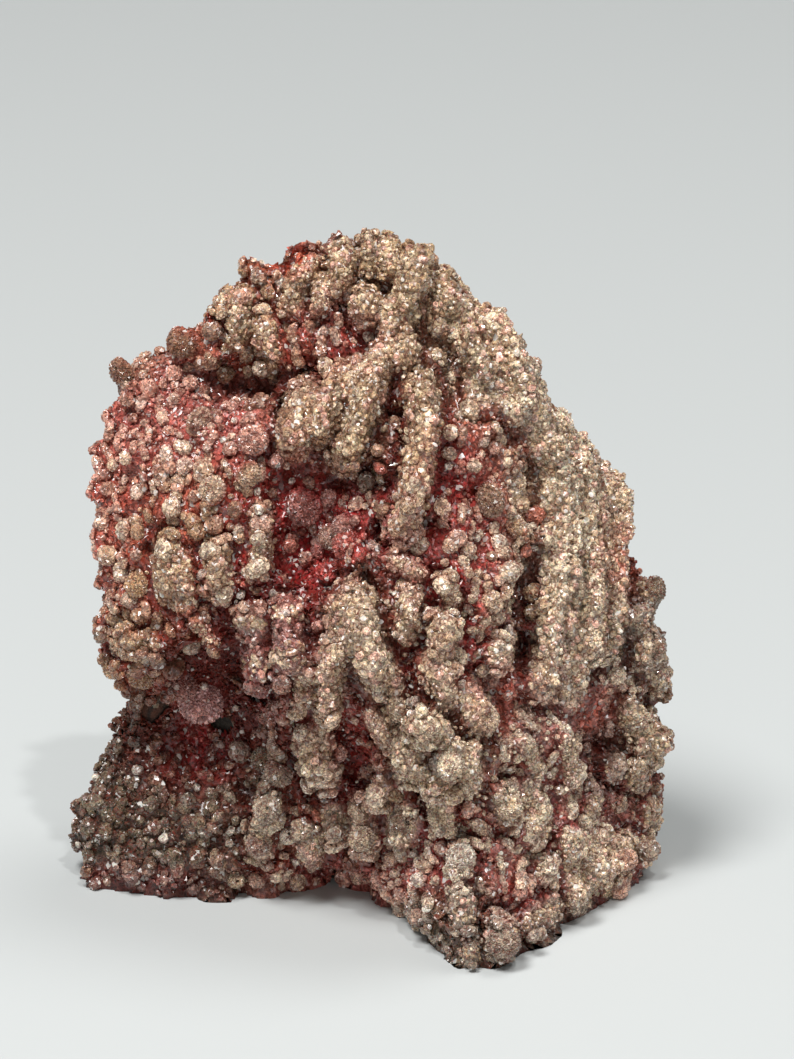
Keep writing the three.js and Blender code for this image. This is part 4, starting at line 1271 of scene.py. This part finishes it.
def weathered_rock():
    material = new_material("weathered_rock")
    where = add_node(material, "ShaderNodeTexCoord").outputs["Object"]
    height = add_node(material, "ShaderNodeAttribute", {"attribute_name": "height"}).outputs["Fac"]
    patches = add_node(
        material, "ShaderNodeTexNoise", None,
        {"Vector": where, "Scale": per_metre(9), "Detail": 8, "Roughness": 0.68},
    )
    colours = add_node(material, "ShaderNodeValToRGB", None, {"Fac": patches.outputs["Fac"]})
    ramp = colours.color_ramp
    ramp.elements[0].position, ramp.elements[0].color = 0.36, (*linear("#3c322a"), 1)
    ramp.elements[1].position, ramp.elements[1].color = 0.64, (*linear("#8a7862"), 1)
    middle = ramp.elements.new(0.5)
    middle.color = (*linear("#5c4e40"), 1)
    grains = add_node(
        material, "ShaderNodeTexVoronoi", None, {"Vector": where, "Scale": per_metre(0.45)}
    )
    kind = add_node(material, "ShaderNodeSeparateColor", None, {"Color": grains.outputs["Color"]})
    speckle = add_node(
        material, "ShaderNodeMapRange", None,
        {"Value": kind.outputs["Red"], "To Min": 0.62, "To Max": 1.45},
    )
    # Darker where the surface lies low, paler where it stands out; rock facing the viewer is stored
    # low, which paints shade on it.
    height_and_cave_shade = add_node(
        material, "ShaderNodeMapRange", None,
        {"Value": height, "From Min": -5, "From Max": 0.2, "To Min": 0.05, "To Max": 1.25},
    )
    level = add_node(
        material, "ShaderNodeMath", {"operation": "MULTIPLY"},
        {0: speckle.outputs["Result"], 1: height_and_cave_shade.outputs["Result"]},
    )
    stone = add_node(
        material, "ShaderNodeVectorMath", {"operation": "SCALE"},
        {0: colours.outputs["Color"], "Scale": level.outputs["Value"]},
    )
    pale_grain = add_node(
        material, "ShaderNodeMapRange", None,
        {"Value": kind.outputs["Green"], "From Min": 0.95, "From Max": 0.97, "To Max": 0.5},
    )
    grained = add_node(
        material, "ShaderNodeMix", {"data_type": "RGBA"},
        {0: pale_grain.outputs["Result"], 6: stone.outputs["Vector"], 7: (*linear("#b0a188"), 1)},
    )
    seep = add_node(
        material, "ShaderNodeTexNoise", None,
        {"Vector": where, "Scale": per_metre(6), "Detail": 7, "Roughness": 0.66, "Distortion": 0.8},
    )
    film = add_node(
        material, "ShaderNodeMapRange", None,
        {"Value": seep.outputs["Fac"], "From Min": 0.52, "From Max": 0.62, "To Max": 0.55},
    )
    rusty = add_node(
        material, "ShaderNodeMix", {"data_type": "RGBA"},
        {0: film.outputs["Result"], 6: grained.outputs[2], 7: (*linear("#7a4630"), 1)},
    )
    bend = add_node(
        material, "ShaderNodeTexNoise", None, {"Vector": where, "Scale": per_metre(8), "Detail": 3}
    )
    bent = add_node(
        material, "ShaderNodeVectorMath", {"operation": "MULTIPLY_ADD"},
        {0: bend.outputs["Color"], 1: [5 * MM] * 3, 2: where},
    )
    cracks = add_node(
        material, "ShaderNodeTexVoronoi", {"feature": "DISTANCE_TO_EDGE"},
        {"Vector": bent.outputs["Vector"], "Scale": per_metre(15)},
    )
    thin_line = add_node(
        material, "ShaderNodeMapRange", None,
        {"Value": cracks.outputs["Distance"], "From Min": 0.005, "From Max": 0.016,
         "To Min": 0.8, "To Max": 0},
    )
    stretches = add_node(
        material, "ShaderNodeMapRange", None,
        {"Value": bend.outputs["Fac"], "From Min": 0.5, "From Max": 0.6},
    )
    vein = add_node(
        material, "ShaderNodeMath", {"operation": "MULTIPLY"},
        {0: thin_line.outputs["Result"], 1: stretches.outputs["Result"]},
    )
    veined = add_node(
        material, "ShaderNodeMix", {"data_type": "RGBA"},
        {0: vein.outputs["Value"], 6: rusty.outputs[2], 7: (*linear("#bf9c86"), 1)},
    )
    roughness = add_node(
        material, "ShaderNodeMapRange", None,
        {"Value": vein.outputs["Value"], "To Min": 0.85, "To Max": 0.4},
    )
    roughened = add_node(
        material, "ShaderNodeMath", {"operation": "MULTIPLY_ADD"},
        {0: patches.outputs["Fac"], 1: 7, 2: kind.outputs["Blue"]},
    )
    relief = add_node(
        material, "ShaderNodeBump", None,
        {"Distance": 0.25 * MM, "Height": roughened.outputs["Value"]},
    )
    surface = add_node(
        material,
        "ShaderNodeBsdfPrincipled",
        None,
        {
            "Base Color": veined.outputs[2],
            "Roughness": roughness.outputs["Result"],
            "IOR": 1.5,
            "Normal": relief.outputs["Normal"],
        },
    )
    add_node(material, "ShaderNodeOutputMaterial", None, {"Surface": surface.outputs["BSDF"]})
    return material


# %% Give each piece its material
drusy = chalcedony("drusy_chalcedony", 0.4, (0.55, 1.42), 0.8, 0.42, 0.35, 0.5, 0.22)
for piece in druse:
    piece.data.materials.append(drusy)
glassy = chalcedony("glassy_chalcedony", 0.48, (0.4, 1.6), 0.4, 0.75, 0.4, 0.9, 0.3)
skin.data.materials.append(glassy)
rock.data.materials.append(weathered_rock())
for face in skin.data.polygons:
    face.use_smooth = True
print("materials:", [material.name for material in bpy.data.materials])

# %% [markdown]
# A plain pale floor and soft light from above, a little from the left and in front, as from a
# window. A weak low lamp stands for the light that comes back from the floor in front, and one
# small lamp gives the crystal faces something bright to glint with.

# %% Floor and light
bpy.ops.mesh.primitive_circle_add(vertices=96, radius=4, fill_type="NGON", location=(0, 0, 0))
floor = bpy.context.object
floor.name = "floor"
pale_floor = new_material("pale_floor")
matte = add_node(
    pale_floor, "ShaderNodeBsdfPrincipled", None,
    {"Base Color": (*linear("#bcbfbe"), 1), "Roughness": 0.9},
)
add_node(pale_floor, "ShaderNodeOutputMaterial", None, {"Surface": matte.outputs["BSDF"]})
floor.data.materials.append(pale_floor)

LAMPS = [
    # name, place and size in metres, power in watts
    ("window", (-0.3, -0.4, 1.05), 0.4, 13),
    ("ceiling", (0.35, 0.1, 1.1), 0.6, 4.5),
    ("floor bounce", (0, -0.7, 0.15), 0.4, 0.85),
    ("glint", (0.15, -0.5, 0.9), 0.04, 2.8),
]
for name, place, size, power in LAMPS:
    lamp_data = bpy.data.lights.new(name, "AREA")
    lamp_data.shape, lamp_data.size, lamp_data.energy = "DISK", size, power
    lamp = bpy.data.objects.new(name, lamp_data)
    lamp.location = place
    lamp.rotation_euler = (Vector(place) - Vector((0, 0, 0.035))).to_track_quat("Z", "Y").to_euler()
    bpy.context.scene.collection.objects.link(lamp)

world = bpy.data.worlds.new("soft room light")
world.use_nodes = True
world.node_tree.nodes["Background"].inputs["Color"].default_value = (*linear("#e4e6e6"), 1)
world.node_tree.nodes["Background"].inputs["Strength"].default_value = 0.17
bpy.context.scene.world = world
bpy.context.scene.view_settings.view_transform = "Standard"
print(len(LAMPS), "lamps")

# %% Let every piece ride with the stone
for piece in [skin, rock, *druse]:
    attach(piece, "root")
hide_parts("chalcedony_crust")
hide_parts("matrix_rock")

total = sum(triangle_count(piece) for piece in [skin, rock, *druse])
print("triangles in all:", total)
